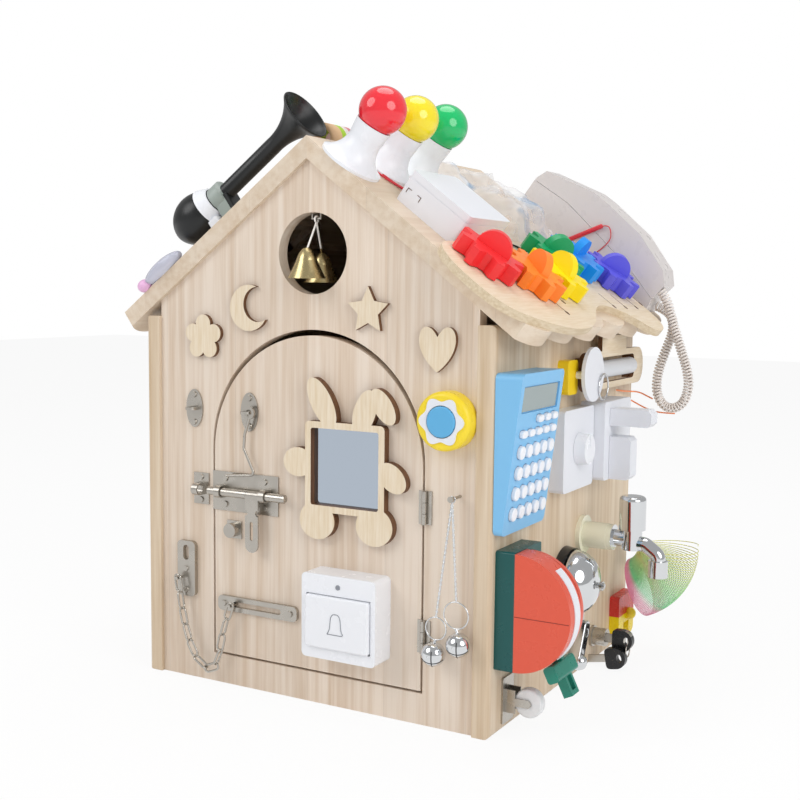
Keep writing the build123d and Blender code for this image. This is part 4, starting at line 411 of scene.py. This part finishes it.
# Moulded orange-red ABS on a dark green base
switch_shell = plastic("orange_red_switch_abs", "#E05A41", 0.3, paint=banded(
    (1, 0, 0), 200, 300, ((0, "#00504E"), (0.3, "#DE5840")),
))
# Moulded glossy ABS, yellow below and red above
toy_shell = plastic("red_and_yellow_toy_abs", "#D3352F", 0.28, paint=banded(
    (0, 0, 1), 0, 100, ((0, "#F4D80F"), (0.4, "#D3352F")),
))
# Extruded, slightly clear plastic whose colour runs along the coil
coil_shell = plastic(
    "rainbow_coil_plastic", "#8FE0A0", 0.25, paint=fanned, Transmission_Weight=0.15
)
# Coloured polycarbonate with a clear coat: strong, small highlights
bulb_shell = plastic("coloured_bulb_polycarbonate", "#F2303C", 0.12, 0.03, paint=banded(
    (0, 1, 0), -200, 0, ((0, "#EE2B38"), (0.31, "#F7E424"), (0.64, "#08C06C")),
), Coat_Weight=0.6, Coat_Roughness=0.06)
# Warm white PVC cord with a satin finish
cord_skin = plastic("warm_white_cord_pvc", "#E8E0DA", 0.4)
# Turned white nylon: glossy and even
wheel_shell = plastic("white_nylon_wheel", "#E9EAEC", 0.3)
# White plastic roller with a satin finish
roller_shell = plastic("satin_white_roller", "#DADDE2", 0.45)
# Printed plastic gears: strong colours, a satin finish
gear_shells = {
    colour: plastic(f"{colour}_printed_plastic", code, 0.38, 0.06, 0.7, 0.05)
    for colour, code in (
        ("red", "#F03438"), ("orange", "#FF8B2E"), ("yellow", "#FBE300"),
        ("green", "#00A061"), ("blue", "#1592EE"), ("violet", "#5F5CDD"),
    )
}

finishes = {
    front_pine: ("front_panel", "door"),
    side_pine: ("side_boards",),
    roof_pine: ("roof_slabs",),
    inner_pine_painted_shade: ("back_panel", "floor_board"),
    front_birch: ("front_shapes", "rabbit_frame"),
    wall_birch: ("roller_frame",),
    roof_birch: ("gear_board",),
    nickel: (
        "frame_fittings", "door_fittings", "cabin_hook", "bolt_hasp", "bolt_rod", "door_chain",
        "lock_keys", "cam_lock", "caster_fork",
    ),
    bright: ("tap_handle", "latch_lever", "bell_chain", "reel_ring"),
    tap_skin: ("tap_body",),
    desk_skin: ("desk_bell",),
    steel: ("bell_plunger", "latch_plate"),
    brass: ("porthole_bells",),
    silvered: ("mirror",),
    white_shell: ("doorbell_box", "doorbell_rocker", "lamp_holders", "dimmer_knob"),
    white_soft: ("dimmer_plate", "socket_box", "plug_upper", "plug_lower", "battery_box"),
    phone_shell: ("phone_base", "handset"),
    calc_shell: ("calculator_body",),
    key_rubber: ("calculator_keys",),
    black_rubber: ("bulb_horn",),
    drum_shell: ("sound_drum",),
    reel_shell: ("reel",),
    button_shell: ("sound_button",),
    teal_grip: ("switch_handle",),
    switch_shell: ("knife_switch",),
    toy_shell: ("clip_toy",),
    coil_shell: ("rainbow_spring",),
    bulb_shell: ("lamp_bulbs",),
    wheel_shell: ("caster_wheel",),
    roller_shell: ("roller",),
    cord_skin: ("phone_cord",),
}
for colour, shell in gear_shells.items():
    finishes[shell] = (f"gear_{colour}",)
for material, names in finishes.items():
    for name in names:
        mesh = nodes[name].data
        mesh.materials.clear()
        mesh.materials.append(material)


# Pieces
def piece(name, form, material, body, place=None, smooth=False):
    """Turn a bmesh into a named piece at its place, riding on a body."""
    if place:
        bmesh.ops.transform(form, matrix=place, verts=form.verts)
    bmesh.ops.recalc_face_normals(form, faces=form.faces)
    mesh = bpy.data.meshes.new(name)
    form.to_mesh(mesh)
    form.free()
    for face in mesh.polygons:
        face.use_smooth = smooth
    made = bpy.data.objects.new(name, mesh)
    bpy.context.scene.collection.objects.link(made)
    mesh.materials.append(material)
    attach(made, body)
    return made


def plate(form, points, low, high, bevel=0):
    """Flat plate of an outline between two heights."""
    face = form.faces.new([form.verts.new((x, y, low)) for x, y in points])
    grown = bmesh.ops.extrude_face_region(form, geom=[face])
    tops = [item for item in grown["geom"] if isinstance(item, bmesh.types.BMVert)]
    bmesh.ops.translate(form, vec=(0, 0, high - low), verts=tops)
    if bevel:
        edges = [edge for edge in form.edges if all(vert in tops for vert in edge.verts)]
        bmesh.ops.bevel(
            form, geom=edges, offset=bevel, segments=2, affect="EDGES", profile=0.5, material=-1
        )


def rounded(width, height, radius, steps=6):
    """Outline of a rectangle with round corners."""
    points = []
    for corner in range(4):
        turn = math.radians(90 * corner)
        middle = Vector((width / 2 - radius, height / 2 - radius))
        if corner % 2:
            middle = Vector((height / 2 - radius, width / 2 - radius))
        for step in range(steps + 1):
            angle = math.radians(90 * step / steps)
            at = middle + Vector((math.cos(angle), math.sin(angle))) * radius
            points.append((
                at.x * math.cos(turn) - at.y * math.sin(turn),
                at.x * math.sin(turn) + at.y * math.cos(turn),
            ))
    return points


def turned(form, profile, steps=40):
    """Round form about Z from pairs of radius and height, closed where the radius is 0."""
    verts = [form.verts.new((radius, 0, height)) for radius, height in profile]
    edges = [form.edges.new(pair) for pair in zip(verts, verts[1:])]
    bmesh.ops.spin(
        form, geom=verts + edges, cent=(0, 0, 0), axis=(0, 0, 1), angle=math.tau, steps=steps,
        use_merge=True,
    )
    bmesh.ops.remove_doubles(form, verts=form.verts, dist=0.001)


def ring_plate(form, outer, inner, low, high):
    """Flat ring between an outer and an inner outline with the same number of points."""
    edges = []
    for points in (outer, inner):
        loop = [form.verts.new((x, y, low)) for x, y in points]
        edges += [form.edges.new(pair) for pair in zip(loop, loop[1:] + loop[:1])]
    flat = bmesh.ops.bridge_loops(form, edges=edges)["faces"]
    grown = bmesh.ops.extrude_face_region(form, geom=flat)
    tops = [item for item in grown["geom"] if isinstance(item, bmesh.types.BMVert)]
    bmesh.ops.translate(form, vec=(0, 0, high - low), verts=tops)


def circle(radius, steps=48, wave=0, count=6, turn=0.0):
    """Points of a circle, or of a flower where the radius waves."""
    points = []
    for step in range(steps):
        angle = math.tau * step / steps
        reach = radius + wave * math.cos(count * (angle + turn))
        points.append((reach * math.cos(angle), reach * math.sin(angle)))
    return points


def curve_of(name, points, radius, material, order=3, resolution=6, rings=2):
    """Smooth curve through control points, with a round section."""
    data = bpy.data.curves.new(name, "CURVE")
    data.dimensions = "3D"
    data.resolution_u = resolution
    data.bevel_depth = radius
    data.bevel_resolution = rings
    data.use_fill_caps = radius > 0
    spline = data.splines.new("NURBS")
    spline.points.add(len(points) - 1)
    for point, at in zip(spline.points, points):
        point.co = (*at, 1)
    spline.order_u = order
    spline.use_endpoint_u = True
    made = bpy.data.objects.new(name, data)
    bpy.context.scene.collection.objects.link(made)
    if material:
        data.materials.append(material)
    return made


def walk(points, step):
    """Points spaced evenly along a line of points, each with its direction."""
    lengths = [0.0]
    for first, second in zip(points, points[1:]):
        lengths.append(lengths[-1] + (second - first).length)
    count = max(2, round(lengths[-1] / step))
    out = []
    index = 0
    for number in range(count + 1):
        target = lengths[-1] * number / count
        while index < len(points) - 2 and lengths[index + 1] < target:
            index += 1
        span = lengths[index + 1] - lengths[index]
        share = (target - lengths[index]) / span if span else 0
        first, second = points[index], points[index + 1]
        out.append((first.lerp(second, share), (second - first).normalized()))
    return out


def route_points(name, points):
    """Points read from the smooth line of a route."""
    route = curve_of(name, points, 0, None, resolution=12)
    mesh = bpy.data.meshes.new_from_object(route)
    line = [vert.co.copy() for vert in mesh.vertices]
    bpy.data.objects.remove(route)
    return line


def helix_of(name, line, reach, steps, radius, material, side=(0, 1, 0)):
    """Wire that winds round a line of points with their directions, and its length."""
    side = Vector(side)
    helix = []
    for number, (at, way) in enumerate(line):
        side = (side - way * side.dot(way)).normalized()
        angle = math.tau * number / steps
        helix.append(at + (side * math.cos(angle) + way.cross(side) * math.sin(angle)) * reach)
    wound = curve_of(name, helix, radius, material, resolution=2, rings=2)
    return wound, sum((second - first).length for first, second in zip(helix, helix[1:]))


# Curly cord of the telephone
CORD_WIRE = 2.7
CORD_OUTER = 12
CORD_PITCH = 3.7
CORD_STEPS = 12
cord_route = [spot(*at) for at in (
    (253.1, 164, 428.4), (261, 164, 417), (266, 164, 397), (277, 165, 365), (288, 167, 331),
    (287.5, 168, 311), (280, 169, 294.5), (262.5, 171, 289.5), (248.5, 173, 304),
    (248, 174, 330), (256, 177, 357), (265, 179, 382), (261, 181, 404), (242.5, 181, 410.5),
)]
cord_line = walk(route_points("cord_route", cord_route), CORD_PITCH / CORD_STEPS * MM)
curly, curly_length = helix_of(
    "curly_cord", cord_line, (CORD_OUTER - CORD_WIRE) / 2 * MM, CORD_STEPS, CORD_WIRE / 2 * MM,
    cord_skin,
)
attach(curly, "house")
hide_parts("phone_cord")

# Rainbow coil, fanned from just above level to steeply down and dense at its pink end
COIL_Y = 155
COIL_REACH = 56
COIL_RADIUS = 35
COIL_WIRE = 1
COIL_TURNS = 44
COIL_STEPS = 24
COIL_TOP = 4
COIL_FAN = 71
coil_points = []
for number in range(COIL_TURNS * COIL_STEPS + 1):
    share = number / (COIL_TURNS * COIL_STEPS)
    fan = math.radians(COIL_TOP - COIL_FAN * share ** 0.7)
    angle = math.tau * number / COIL_STEPS
    out = Vector((math.cos(fan), 0, math.sin(fan)))
    reach = out * (COIL_REACH + COIL_RADIUS * math.cos(angle))
    sway = INTO_HOUSE * COIL_RADIUS * math.sin(angle)
    coil_points.append(spot(COIL_X, COIL_Y, COIL_Z) + (reach + sway) * MM)
coil = curve_of("rainbow_coil", coil_points, COIL_WIRE / 2 * MM, coil_shell, resolution=2, rings=1)
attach(coil, "coil")
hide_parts("rainbow_spring")

# Calculator screen, sunk in its head
SCREEN_Z = 327
CALC_MIDDLE_Z = 198
CALC_Y = -146
screen = bmesh.new()
plate(screen, rounded(84, 23.5, 1.5), -1.9, -1.2, 0.3)
calc_out = Vector((math.cos(CALC_TILT), 0, -math.sin(CALC_TILT)))
screen_at = spot(WALL + 9 + (SCREEN_Z - CALC_MIDDLE_Z) * math.tan(CALC_TILT), CALC_Y, SCREEN_Z)
# Liquid crystal display behind a glossy window: flat grey-green
display = plastic("grey_green_display", "#93A0A0", 0.12, 0.02)
piece("calculator_screen", screen, display, "house",
      placed(screen_at, INTO_HOUSE, calc_out))

# White flower round the sound button
BUTTON_X, BUTTON_Z = 163, 305
flower = bmesh.new()
ring_plate(flower, circle(21.5, 96, 2.4, 6), circle(15.6, 96), 0, 1.4)
piece("sound_flower", flower, white_soft, "house", on_front(BUTTON_X, BUTTON_Z, 19.05))

# Doorbell pictogram and pilot light
DOORBELL_X = 56
MARK_Z = 95
rocker_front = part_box("doorbell_rocker")[0][1] / MM
# Printed grey ink: matt and even
bell_mark_material = plastic("grey_printed_mark", "#8C9098", 0.4)
bell_side = ((0, 13), (3.4, 12.4), (5.6, 9), (6.2, 2), (6.8, -4), (9.6, -8))
bell_line = [(-x, z) for x, z in reversed(bell_side)] + list(bell_side[1:]) + [(0, -8), (-9.6, -8)]
mark = curve_of("doorbell_mark", [
    spot(DOORBELL_X + x, rocker_front - 0.1, MARK_Z + z) for x, z in bell_line
], 0.45 * MM, bell_mark_material, resolution=6, rings=1)
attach(mark, "rocker")
pilot = bmesh.new()
turned(pilot, ((2.6, 0), (2.6, 0.6), (1.9, 1), (1.2, 0.6), (0.0, 0.6)))
piece("doorbell_pilot", pilot, bell_mark_material, "house",
      on_front(DOORBELL_X, 134, 30.02))


def arc_through(start, middle, end, steps):
    """Points of the arc through three pairs of radius and height."""
    first, second, third = (Vector((*pair, 0)) for pair in (start, middle, end))
    one, two = second - first, third - first
    normal = one.cross(two)
    middle_way = normal.cross(one) * two.length_squared + two.cross(normal) * one.length_squared
    centre = first + middle_way / (2 * normal.length_squared)
    low, high = (math.atan2(point.y - centre.y, point.x - centre.x) for point in (first, third))
    mid = math.atan2(second.y - centre.y, second.x - centre.x)
    if (mid - low) % math.tau > (high - low) % math.tau:
        turn = (high - low) % math.tau - math.tau
    else:
        turn = (high - low) % math.tau
    reach = (first - centre).length
    return [(centre.x + reach * math.cos(low + turn * step / steps),
             centre.y + reach * math.sin(low + turn * step / steps)) for step in range(steps + 1)]


# Bulb horn with an open bell, its Z up the slope: bulb, collar, pipe and the bell's two faces
HORN_Y = -170
HORN_OUT = 51
horn = bmesh.new()
turned(horn, [
    (0, -193), (3.8, -193), *arc_through((4, -192.8), (27, -163), (15, -133), 24),
    (15, -132.6), (15, -115.3), (14.7, -115), (9.3, -115), (9, -114.7),
    *arc_through((9, -39), (14.5, -9), (28.6, 11), 14), (29, 12),
    (28.4, 12.6), (27.6, 12), *arc_through((26.8, 10.4), (12.6, -10), (7.4, -39), 14),
    (7.2, -44), (0, -44),
], 48)
horn_body = piece("horn_body", horn, black_rubber, "house",
                  on_left_roof(0, HORN_Y, HORN_OUT, OUT_OF_FRONT, -LEFT_DOWN), smooth=True)
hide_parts("bulb_horn")
rest = bmesh.new()
plate(rest, rounded(20, 22, 2), 0, 28.5, 0.8)
piece("horn_foot", rest, black_rubber, "house", on_left_roof(119.5, HORN_Y, SLAB))

# Strap round the neck of the horn's bulb, with its foot on the slab
strap = bmesh.new()
turned(strap, ((15.8, -6), (17.4, -6), (24, 6), (22.4, 6), (15.8, -6)))
piece("horn_strap", strap, white_shell, "house",
      on_left_roof(136, HORN_Y, HORN_OUT, OUT_OF_FRONT, LEFT_DOWN))
foot = bmesh.new()
plate(foot, rounded(14, 34, 3), 0, 14, 0.8)
piece("horn_strap_foot", foot, white_shell, "house", on_left_roof(138, HORN_Y, SLAB))


def ball(form, radius, scale=(1, 1, 1), segments=32):
    """Sphere or egg about the origin."""
    made = bmesh.ops.create_uvsphere(
        form, u_segments=segments, v_segments=segments // 2, radius=radius
    )
    bmesh.ops.scale(form, vec=scale, verts=made["verts"])


# Black bows of the two keys, round in front and square behind, and the shank of the spare one
BOW_RADIUS = 11.9
BOW_HALF = 4.3
SPARE_AT = (243, 70.5, 13.2)
SPARE_TILT = 10
key_bow = [
    (x, y) if x >= 0 else (x * BOW_RADIUS / reach, y * BOW_RADIUS / reach)
    for x, y in circle(BOW_RADIUS, 48) for reach in ((abs(x) ** 6 + abs(y) ** 6) ** (1 / 6),)
]
bow_hole = [(x + 4.5, y * 1.6) for x, y in circle(3, 48)]


def tilted(degrees):
    """Direction out of the wall, tilted up."""
    return Vector((math.cos(math.radians(degrees)), 0, math.sin(math.radians(degrees))))


for name, at, turn in (("key_bow", (247.5, 80, 32), 0), ("spare_key_bow", SPARE_AT, SPARE_TILT)):
    bow = bmesh.new()
    ring_plate(bow, key_bow, bow_hole, -BOW_HALF, BOW_HALF)
    piece(name, bow, black_gloss_and_slot_shade, "keys_in_lock",
          placed(spot(*at), tilted(turn), OUT_OF_FRONT))
shank = bmesh.new()
plate(shank, (
    (-38, -3), (-33, -4.5), (-10, -4.5), (-10, 4.5), (-33, 4.5), (-36, 1.5),
), -1, 1, 0.3)
piece("spare_key_shank", shank, nickel, "keys_in_lock",
      placed(spot(*SPARE_AT), tilted(SPARE_TILT), OUT_OF_FRONT))

# Yellow knob of the clip toy
knob = bmesh.new()
ball(knob, 7.2)
piece("toy_knob", knob, drum_shell, "house", upright(224.6, 171, 38.5), smooth=True)

# White strip on the rim of the switch cover, and a dark strip of painted shade along the split
# across its face
STRIP_OUTER, STRIP_INNER = 57.7, 56.5
STRIP_TOP, STRIP_SWEEP, STRIP_STEPS = 50, 95, 30
strip = bmesh.new()
arc = [
    math.radians(STRIP_TOP - STRIP_SWEEP * step / STRIP_STEPS) for step in range(STRIP_STEPS + 1)
]
outline = [(STRIP_OUTER * math.cos(turn), STRIP_OUTER * math.sin(turn)) for turn in arc]
outline += [(STRIP_INNER * math.cos(turn), STRIP_INNER * math.sin(turn)) for turn in reversed(arc)]
plate(strip, outline, 0, 13)
piece("switch_strip", strip, white_soft, "house",
      placed(spot(230, -166.5, 125), ALONG_FRONT, OUT_OF_FRONT))
split = bmesh.new()
plate(split, ((0, -0.4), (55, -0.4), (55, 0.4), (0, 0.4)), -0.5, 0.08)
# Painted shade in the seam between two mouldings: a dark, matt strip
seam_painted_shade = plastic("dark_red_painted_seam_shade", "#8E2F22", 0.6)
piece("switch_split_painted_shade", split, seam_painted_shade, "house",
      placed(spot(230.5, -190, 122), ALONG_FRONT, OUT_OF_FRONT))

# Knob at the foot of the latch lever
latch_knob = bmesh.new()
ball(latch_knob, 8, (1, 1, 1.1))
piece("latch_knob", latch_knob, bright, "lever", upright(224, 6, 23), smooth=True)


def wires(name, lines, radius, material, closed=False):
    """Thin round wires along several lines of points."""
    data = bpy.data.curves.new(name, "CURVE")
    data.dimensions = "3D"
    data.bevel_depth = radius
    data.bevel_resolution = 1
    data.use_fill_caps = not closed
    for line in lines:
        spline = data.splines.new("POLY")
        spline.points.add(len(line) - 1)
        spline.use_cyclic_u = closed
        for point, at in zip(spline.points, line):
            point.co = (*(at * MM), 1)
    made = bpy.data.objects.new(name, data)
    bpy.context.scene.collection.objects.link(made)
    data.materials.append(material)
    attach(made, "bell_string")


# Slots of the jingle bells as black wires of painted shade, and the fine links of their chain
CHAIN_Y = -212
BELL_RADIUS = 11.6
LINK_PITCH = 2.3
LINK_HALF_LENGTH, LINK_HALF_WIDTH = 1.7, 1.15
slot_lines = []
slot_turns = [math.radians(-60 + 7.5 * step) for step in range(17)]
for middle in (Vector((156.5, CHAIN_Y, 80)), Vector((183, CHAIN_Y, 93))):
    pole = Vector((0.25, -0.8, -0.55)).normalized()
    level_way = pole.cross(Vector((0, 0, 1))).normalized()
    for way in (level_way, pole.cross(level_way)):
        slot_lines.append([
            middle + (pole * math.cos(turn) + way * math.sin(turn)) * BELL_RADIUS
            for turn in slot_turns
        ])
wires("jingle_slot_shade", slot_lines, 0.8 * MM, black_gloss_and_slot_shade)
link_lines = []
link_turns = [math.tau * step / 10 for step in range(10)]
for foot_x, foot_z in ((159, 116.5), (180.4, 134.3)):
    top = Vector((174.5, CHAIN_Y, 229.5))
    low = Vector((foot_x, CHAIN_Y, foot_z))
    down = (low - top).normalized()
    count = round((low - top).length / LINK_PITCH)
    for index in range(count):
        middle = top.lerp(low, (index + 0.5) / count)
        across = down.cross(INTO_HOUSE) if index % 2 else INTO_HOUSE
        link_lines.append([
            middle + down * (LINK_HALF_LENGTH * math.cos(turn))
            + across * (LINK_HALF_WIDTH * math.sin(turn)) for turn in link_turns
        ])
wires("fine_links", link_lines, 0.35 * MM, bright, closed=True)


def block(form, size, middle):
    """Rectangular block about a place."""
    verts = bmesh.ops.create_cube(form, size=1)["verts"]
    bmesh.ops.scale(form, vec=size, verts=verts)
    bmesh.ops.translate(form, vec=middle, verts=verts)


# Battens inside, under the left slab, as ranges down the slope and along the ridge
batten = bmesh.new()
for s_low, s_high, y_low, y_high in (
    (90, 99, -170, -70), (90, 142, -77, -70), (130, 139, -77, 190), (130, 180, -31, -25),
):
    block(batten, (s_high - s_low, y_high - y_low, 8),
          ((s_low + s_high) / 2, -(y_low + y_high) / 2, -3.9))
piece("inner_battens", batten, batten_pine, "house", on_left_roof(0, 0, 0))

# Marks of the battery box's catch: a bar and a notch at each side
catch = bmesh.new()
for side in (-1, 1):
    block(catch, (5, 0.6, 0.6), (side * 6.5, 5, 0))
    block(catch, (0.6, 5, 0.6), (side * 8.7, 2.5, 0))
piece("battery_catch", catch, burnt_line, "house",
      placed(spot(100, -162.1, 518.5), RIGHT_DOWN, OUT_OF_FRONT))

# Burnt lines with drop ends on the gear board
LINE_START, LINE_END = 26, 4
LINE_HALF = 0.5
MARK_LOW, MARK_HIGH = -0.3, 0.12
marks = bmesh.new()
for s, y in (
    (277, -146), (283, -116), (282, -81), (280, -48), (257, 23), (255, 67), (270, 81), (287, 104),
):
    plate(marks, (
        (s - LINE_START, -y - LINE_HALF), (s - LINE_END, -y - LINE_HALF),
        (s - LINE_END, -y + LINE_HALF), (s - LINE_START, -y + LINE_HALF),
    ), MARK_LOW, MARK_HIGH)
    drop = [(s - 3 + u * 1.5, -y + v) for u, v in circle(2.3, 16)]
    plate(marks, drop, MARK_LOW, MARK_HIGH)
piece("board_marks", marks, burnt_line, "house", on_roof(0, 0, SLAB + GEAR_BOARD))

# Crumpled clear bag on the roof, from a grid whose folds fade towards its rim
BAG_S, BAG_DOWN = 5, 146
BAG_Y, BAG_LONG = 8, 141
BAG_WANDER = 6
BAG_HEIGHT, BAG_FOLDS = 17, 21
bag = bmesh.new()
bmesh.ops.create_grid(bag, x_segments=44, y_segments=50, size=0.5)
for vert in bag.verts:
    u, v = vert.co.x + 0.5, vert.co.y + 0.5
    fold = max(-0.75, noise.fractal(Vector((u * 2.6, v * 2.8, 2.7)), 0.9, 2.0, 3))
    rim = min(1, 5 * min(u, 1 - u, v, 1 - v))
    s = BAG_S + BAG_DOWN * u + BAG_WANDER * noise.noise(Vector((u * 4, v * 4, 9)))
    y = BAG_Y + BAG_LONG * v + BAG_WANDER * noise.noise(Vector((u * 4, v * 4, 19)))
    vert.co = roof_spot(s, y, SLAB + 1 + rim * (BAG_HEIGHT + BAG_FOLDS * fold))
bag_area = sum(face.calc_area() for face in bag.faces)
clear_bag = piece("clear_bag", bag, bag_film, "house", smooth=True)

# Clear lilac toy with a pink end on the left slab
lilac = bmesh.new()
ball(lilac, 1, (29, 13, 8))
piece("lilac_toy", lilac, lilac_shell, "house",
      on_left_roof(216, -196, SLAB + 7.6), smooth=True)
pink_end = bmesh.new()
ball(pink_end, 1, (8, 9, 7))
# Moulded pink plastic with a soft gloss
pink_shell = plastic("pink_toy_plastic", "#E7B6DC", 0.3)
piece("lilac_toy_end", pink_end, pink_shell, "house",
      on_left_roof(247, -198, SLAB + 6.6), smooth=True)

# Printed paper roll on the ridge
ROLL_OUTER, ROLL_INNER = 17, 11
roll = bmesh.new()
turned(roll, (
    (ROLL_OUTER, -20), (ROLL_OUTER, 22), (ROLL_INNER, 22), (ROLL_INNER, -20), (ROLL_OUTER, -20),
), 48)
# Printed paper in coloured bands: matt
paper = plastic("printed_paper_roll", "#E2BE94", 0.6, paint=banded((0, 1, 0), -150, -90, (
    (0, "#E0BC92"), (0.45, "#A8D23C"), (0.6, "#F2E6E8"), (0.75, "#E58A90"),
)))
piece("paper_roll", roll, paper, "house",
      on_left_roof(2, -118, SLAB + 16.9, LEFT_DOWN, INTO_HOUSE), smooth=True)

# Screw eye under the left eave, its shank in the slab
EYE_OUTER, EYE_INNER, EYE_HALF = 5.2, 3.6, 0.8
eye = bmesh.new()
turned(eye, (
    (EYE_INNER, -EYE_HALF), (EYE_OUTER, -EYE_HALF), (EYE_OUTER, EYE_HALF), (EYE_INNER, EYE_HALF),
    (EYE_INNER, -EYE_HALF),
), 32)
plate(eye, (
    (-EYE_HALF, -7.2), (EYE_HALF, -7.2), (EYE_HALF, -4.4), (-EYE_HALF, -4.4),
), -EYE_HALF, EYE_HALF)
piece("eave_eye", eye, steel, "house",
      on_left_roof(271, -184, -6.2, LEFT_DOWN, OUT_OF_FRONT))


def lead(name, route, radius, material):
    """Free lead along a smooth line through places, from its first one."""
    made = curve_of(name, route, radius * MM, material, resolution=12, rings=2)
    line = route_points(name + "_line", route)
    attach(made, "house")


# Red wires and a black lead of the battery box
WIRE_RADIUS = 1
lead("red_wire_upper", [roof_spot(*at) for at in (
    (89, -122, 21), (78, -123, 20), (70, -125, 19.6), (52, -138, 19.6), (40, -141.5, 20),
)], WIRE_RADIUS, wire_skin)
lead("red_wire_lower", [roof_spot(*at) for at in (
    (89, -116, 21), (80, -117, 20), (72, -119, 19.6), (56, -132, 19.6), (45, -133, 20),
)], WIRE_RADIUS, wire_skin)
plug = bmesh.new()
plate(plug, rounded(16, 11, 2), 0, 9, 0.8)
piece("black_connector", plug, black_gloss_and_slot_shade, "house", on_roof(161, -46, SLAB))
lead("black_lead", [roof_spot(*at) for at in (
    (161, -42, 22), (160, -32, 19.4), (157, -18, 19.4), (160, -4, 19.4), (166, 6, 19.4),
    (171.5, 10, 19.6),
)], 1.1, black_gloss_and_slot_shade)

# Red pen against the telephone, with its thread
pen_foot = spot(139.3, 155, 487.9)
pen_way = (spot(182, 155, 504) - pen_foot).normalized()
pen = bmesh.new()
turned(pen, ((0, -6), (0.9, -6), (2.7, 0), (2.7, 45), (1.8, 46), (0, 46)), 24)
piece("red_pen", pen, wire_skin, "house",
      placed(pen_foot, INTO_HOUSE, pen_way), smooth=True)
lead("pen_thread", [spot(*at) for at in (
    (181, 155, 503.6), (188, 155.5, 505), (192, 156.5, 500), (192.5, 157, 489),
    (185, 157.2, 480), (175.6, 157.3, 473.5),
)], 0.6, wire_skin)

# Orange ribbons behind the roller frame
RIBBON_RADIUS = 0.9
lead("orange_ribbon_upper", [spot(*at) for at in (
    (209.6, 140, 312), (214, 153, 310), (215, 170, 308.5), (222, 188, 307), (233, 190, 301.5),
    (238, 192, 299),
)], RIBBON_RADIUS, orange_thread)
lead("orange_ribbon_lower", [spot(*at) for at in (
    (209.6, 178, 299), (213, 184, 297), (218, 190, 293), (229.6, 190, 287.5), (245, 191, 282.6),
    (266, 191, 283),
)], RIBBON_RADIUS, orange_thread)


# Studio: pale floor, soft lamps and the camera
def area_lamp(name, at, size, watts):
    """Large soft lamp that faces the house."""
    data = bpy.data.lights.new(name, "AREA")
    data.shape = "DISK"
    data.size = size
    data.energy = watts
    lamp = bpy.data.objects.new(name, data)
    bpy.context.scene.collection.objects.link(lamp)
    lamp.location = at
    lamp.rotation_euler = (Vector((0, 0, 0.25)) - Vector(at)).to_track_quat("-Z", "Y").to_euler()


area_lamp("window_lamp", (-1.3, -2.0, 1.9), 1.8, 25)
area_lamp("right_lamp", (2.1, -0.9, 1.2), 1.6, 22)
area_lamp("top_lamp", (0.1, 0.2, 2.4), 1.6, 16)

floor_form = bmesh.new()
bmesh.ops.create_grid(floor_form, x_segments=1, y_segments=1, size=6)
floor_mesh = bpy.data.meshes.new("studio_floor")
floor_form.to_mesh(floor_mesh)
floor_form.free()
floor = bpy.data.objects.new("studio_floor", floor_mesh)
bpy.context.scene.collection.objects.link(floor)
# Matt white paper, lit so that it meets the background
floor_material, floor_tree, floor_shader, _ = begin(
    "matt_white_paper", Base_Color=(0.9, 0.9, 0.9, 1), Roughness=0.9
)
glow = add(floor_tree, "Emission", {"Color": (1, 1, 1, 1), "Strength": 1.0})
rays = add(floor_tree, "LightPath")
seen = add(floor_tree, "Math", {
    0: rays.outputs["Is Camera Ray"], 1: rays.outputs["Is Glossy Ray"],
}, operation="MAXIMUM")
share = add(floor_tree, "Math", {0: seen.outputs["Value"], 1: 0.9}, operation="MULTIPLY")
mixed = add(floor_tree, "MixShader", {
    0: share.outputs["Value"], 1: floor_shader.outputs[0], 2: glow.outputs[0],
})
floor_tree.links.new(mixed.outputs[0], floor_tree.nodes["Material Output"].inputs["Surface"])
floor_mesh.materials.append(floor_material)

world = bpy.data.worlds.new("soft_white_room")
bpy.context.scene.world = world
world.use_nodes = True
sky = world.node_tree
background = sky.nodes["Background"]
path = add(sky, "LightPath")
direct = add(sky, "Math", {
    0: path.outputs["Is Camera Ray"], 1: path.outputs["Is Transmission Ray"],
}, operation="MAXIMUM")
strength = add(sky, "MapRange", {"Value": direct.outputs["Value"], "To Min": 0.5, "To Max": 1})
sky.links.new(strength.outputs["Result"], background.inputs["Strength"])
background.inputs["Color"].default_value = (1, 1, 1, 1)

# Camera fitted to the edges of the house in the photograph, in metres and millimetres of lens
CAMERA_AT = (0.67506, -1.20268, 0.43426)
CAMERA_RIGHT = (0.870681, 0.491734, 0.010596)
CAMERA_UP = (-0.057112, 0.079682, 0.995183)
LENS = 53.73
camera_data = bpy.data.cameras.new("camera")
camera_data.sensor_width = 36
camera_data.lens = LENS
camera = bpy.data.objects.new("camera", camera_data)
bpy.context.scene.collection.objects.link(camera)
right, up = Vector(CAMERA_RIGHT), Vector(CAMERA_UP)
turn = Matrix((right, up, right.cross(up))).transposed().to_4x4()
camera.matrix_world = Matrix.Translation(CAMERA_AT) @ turn
bpy.context.scene.camera = camera
bpy.context.scene.view_settings.view_transform = "Standard"
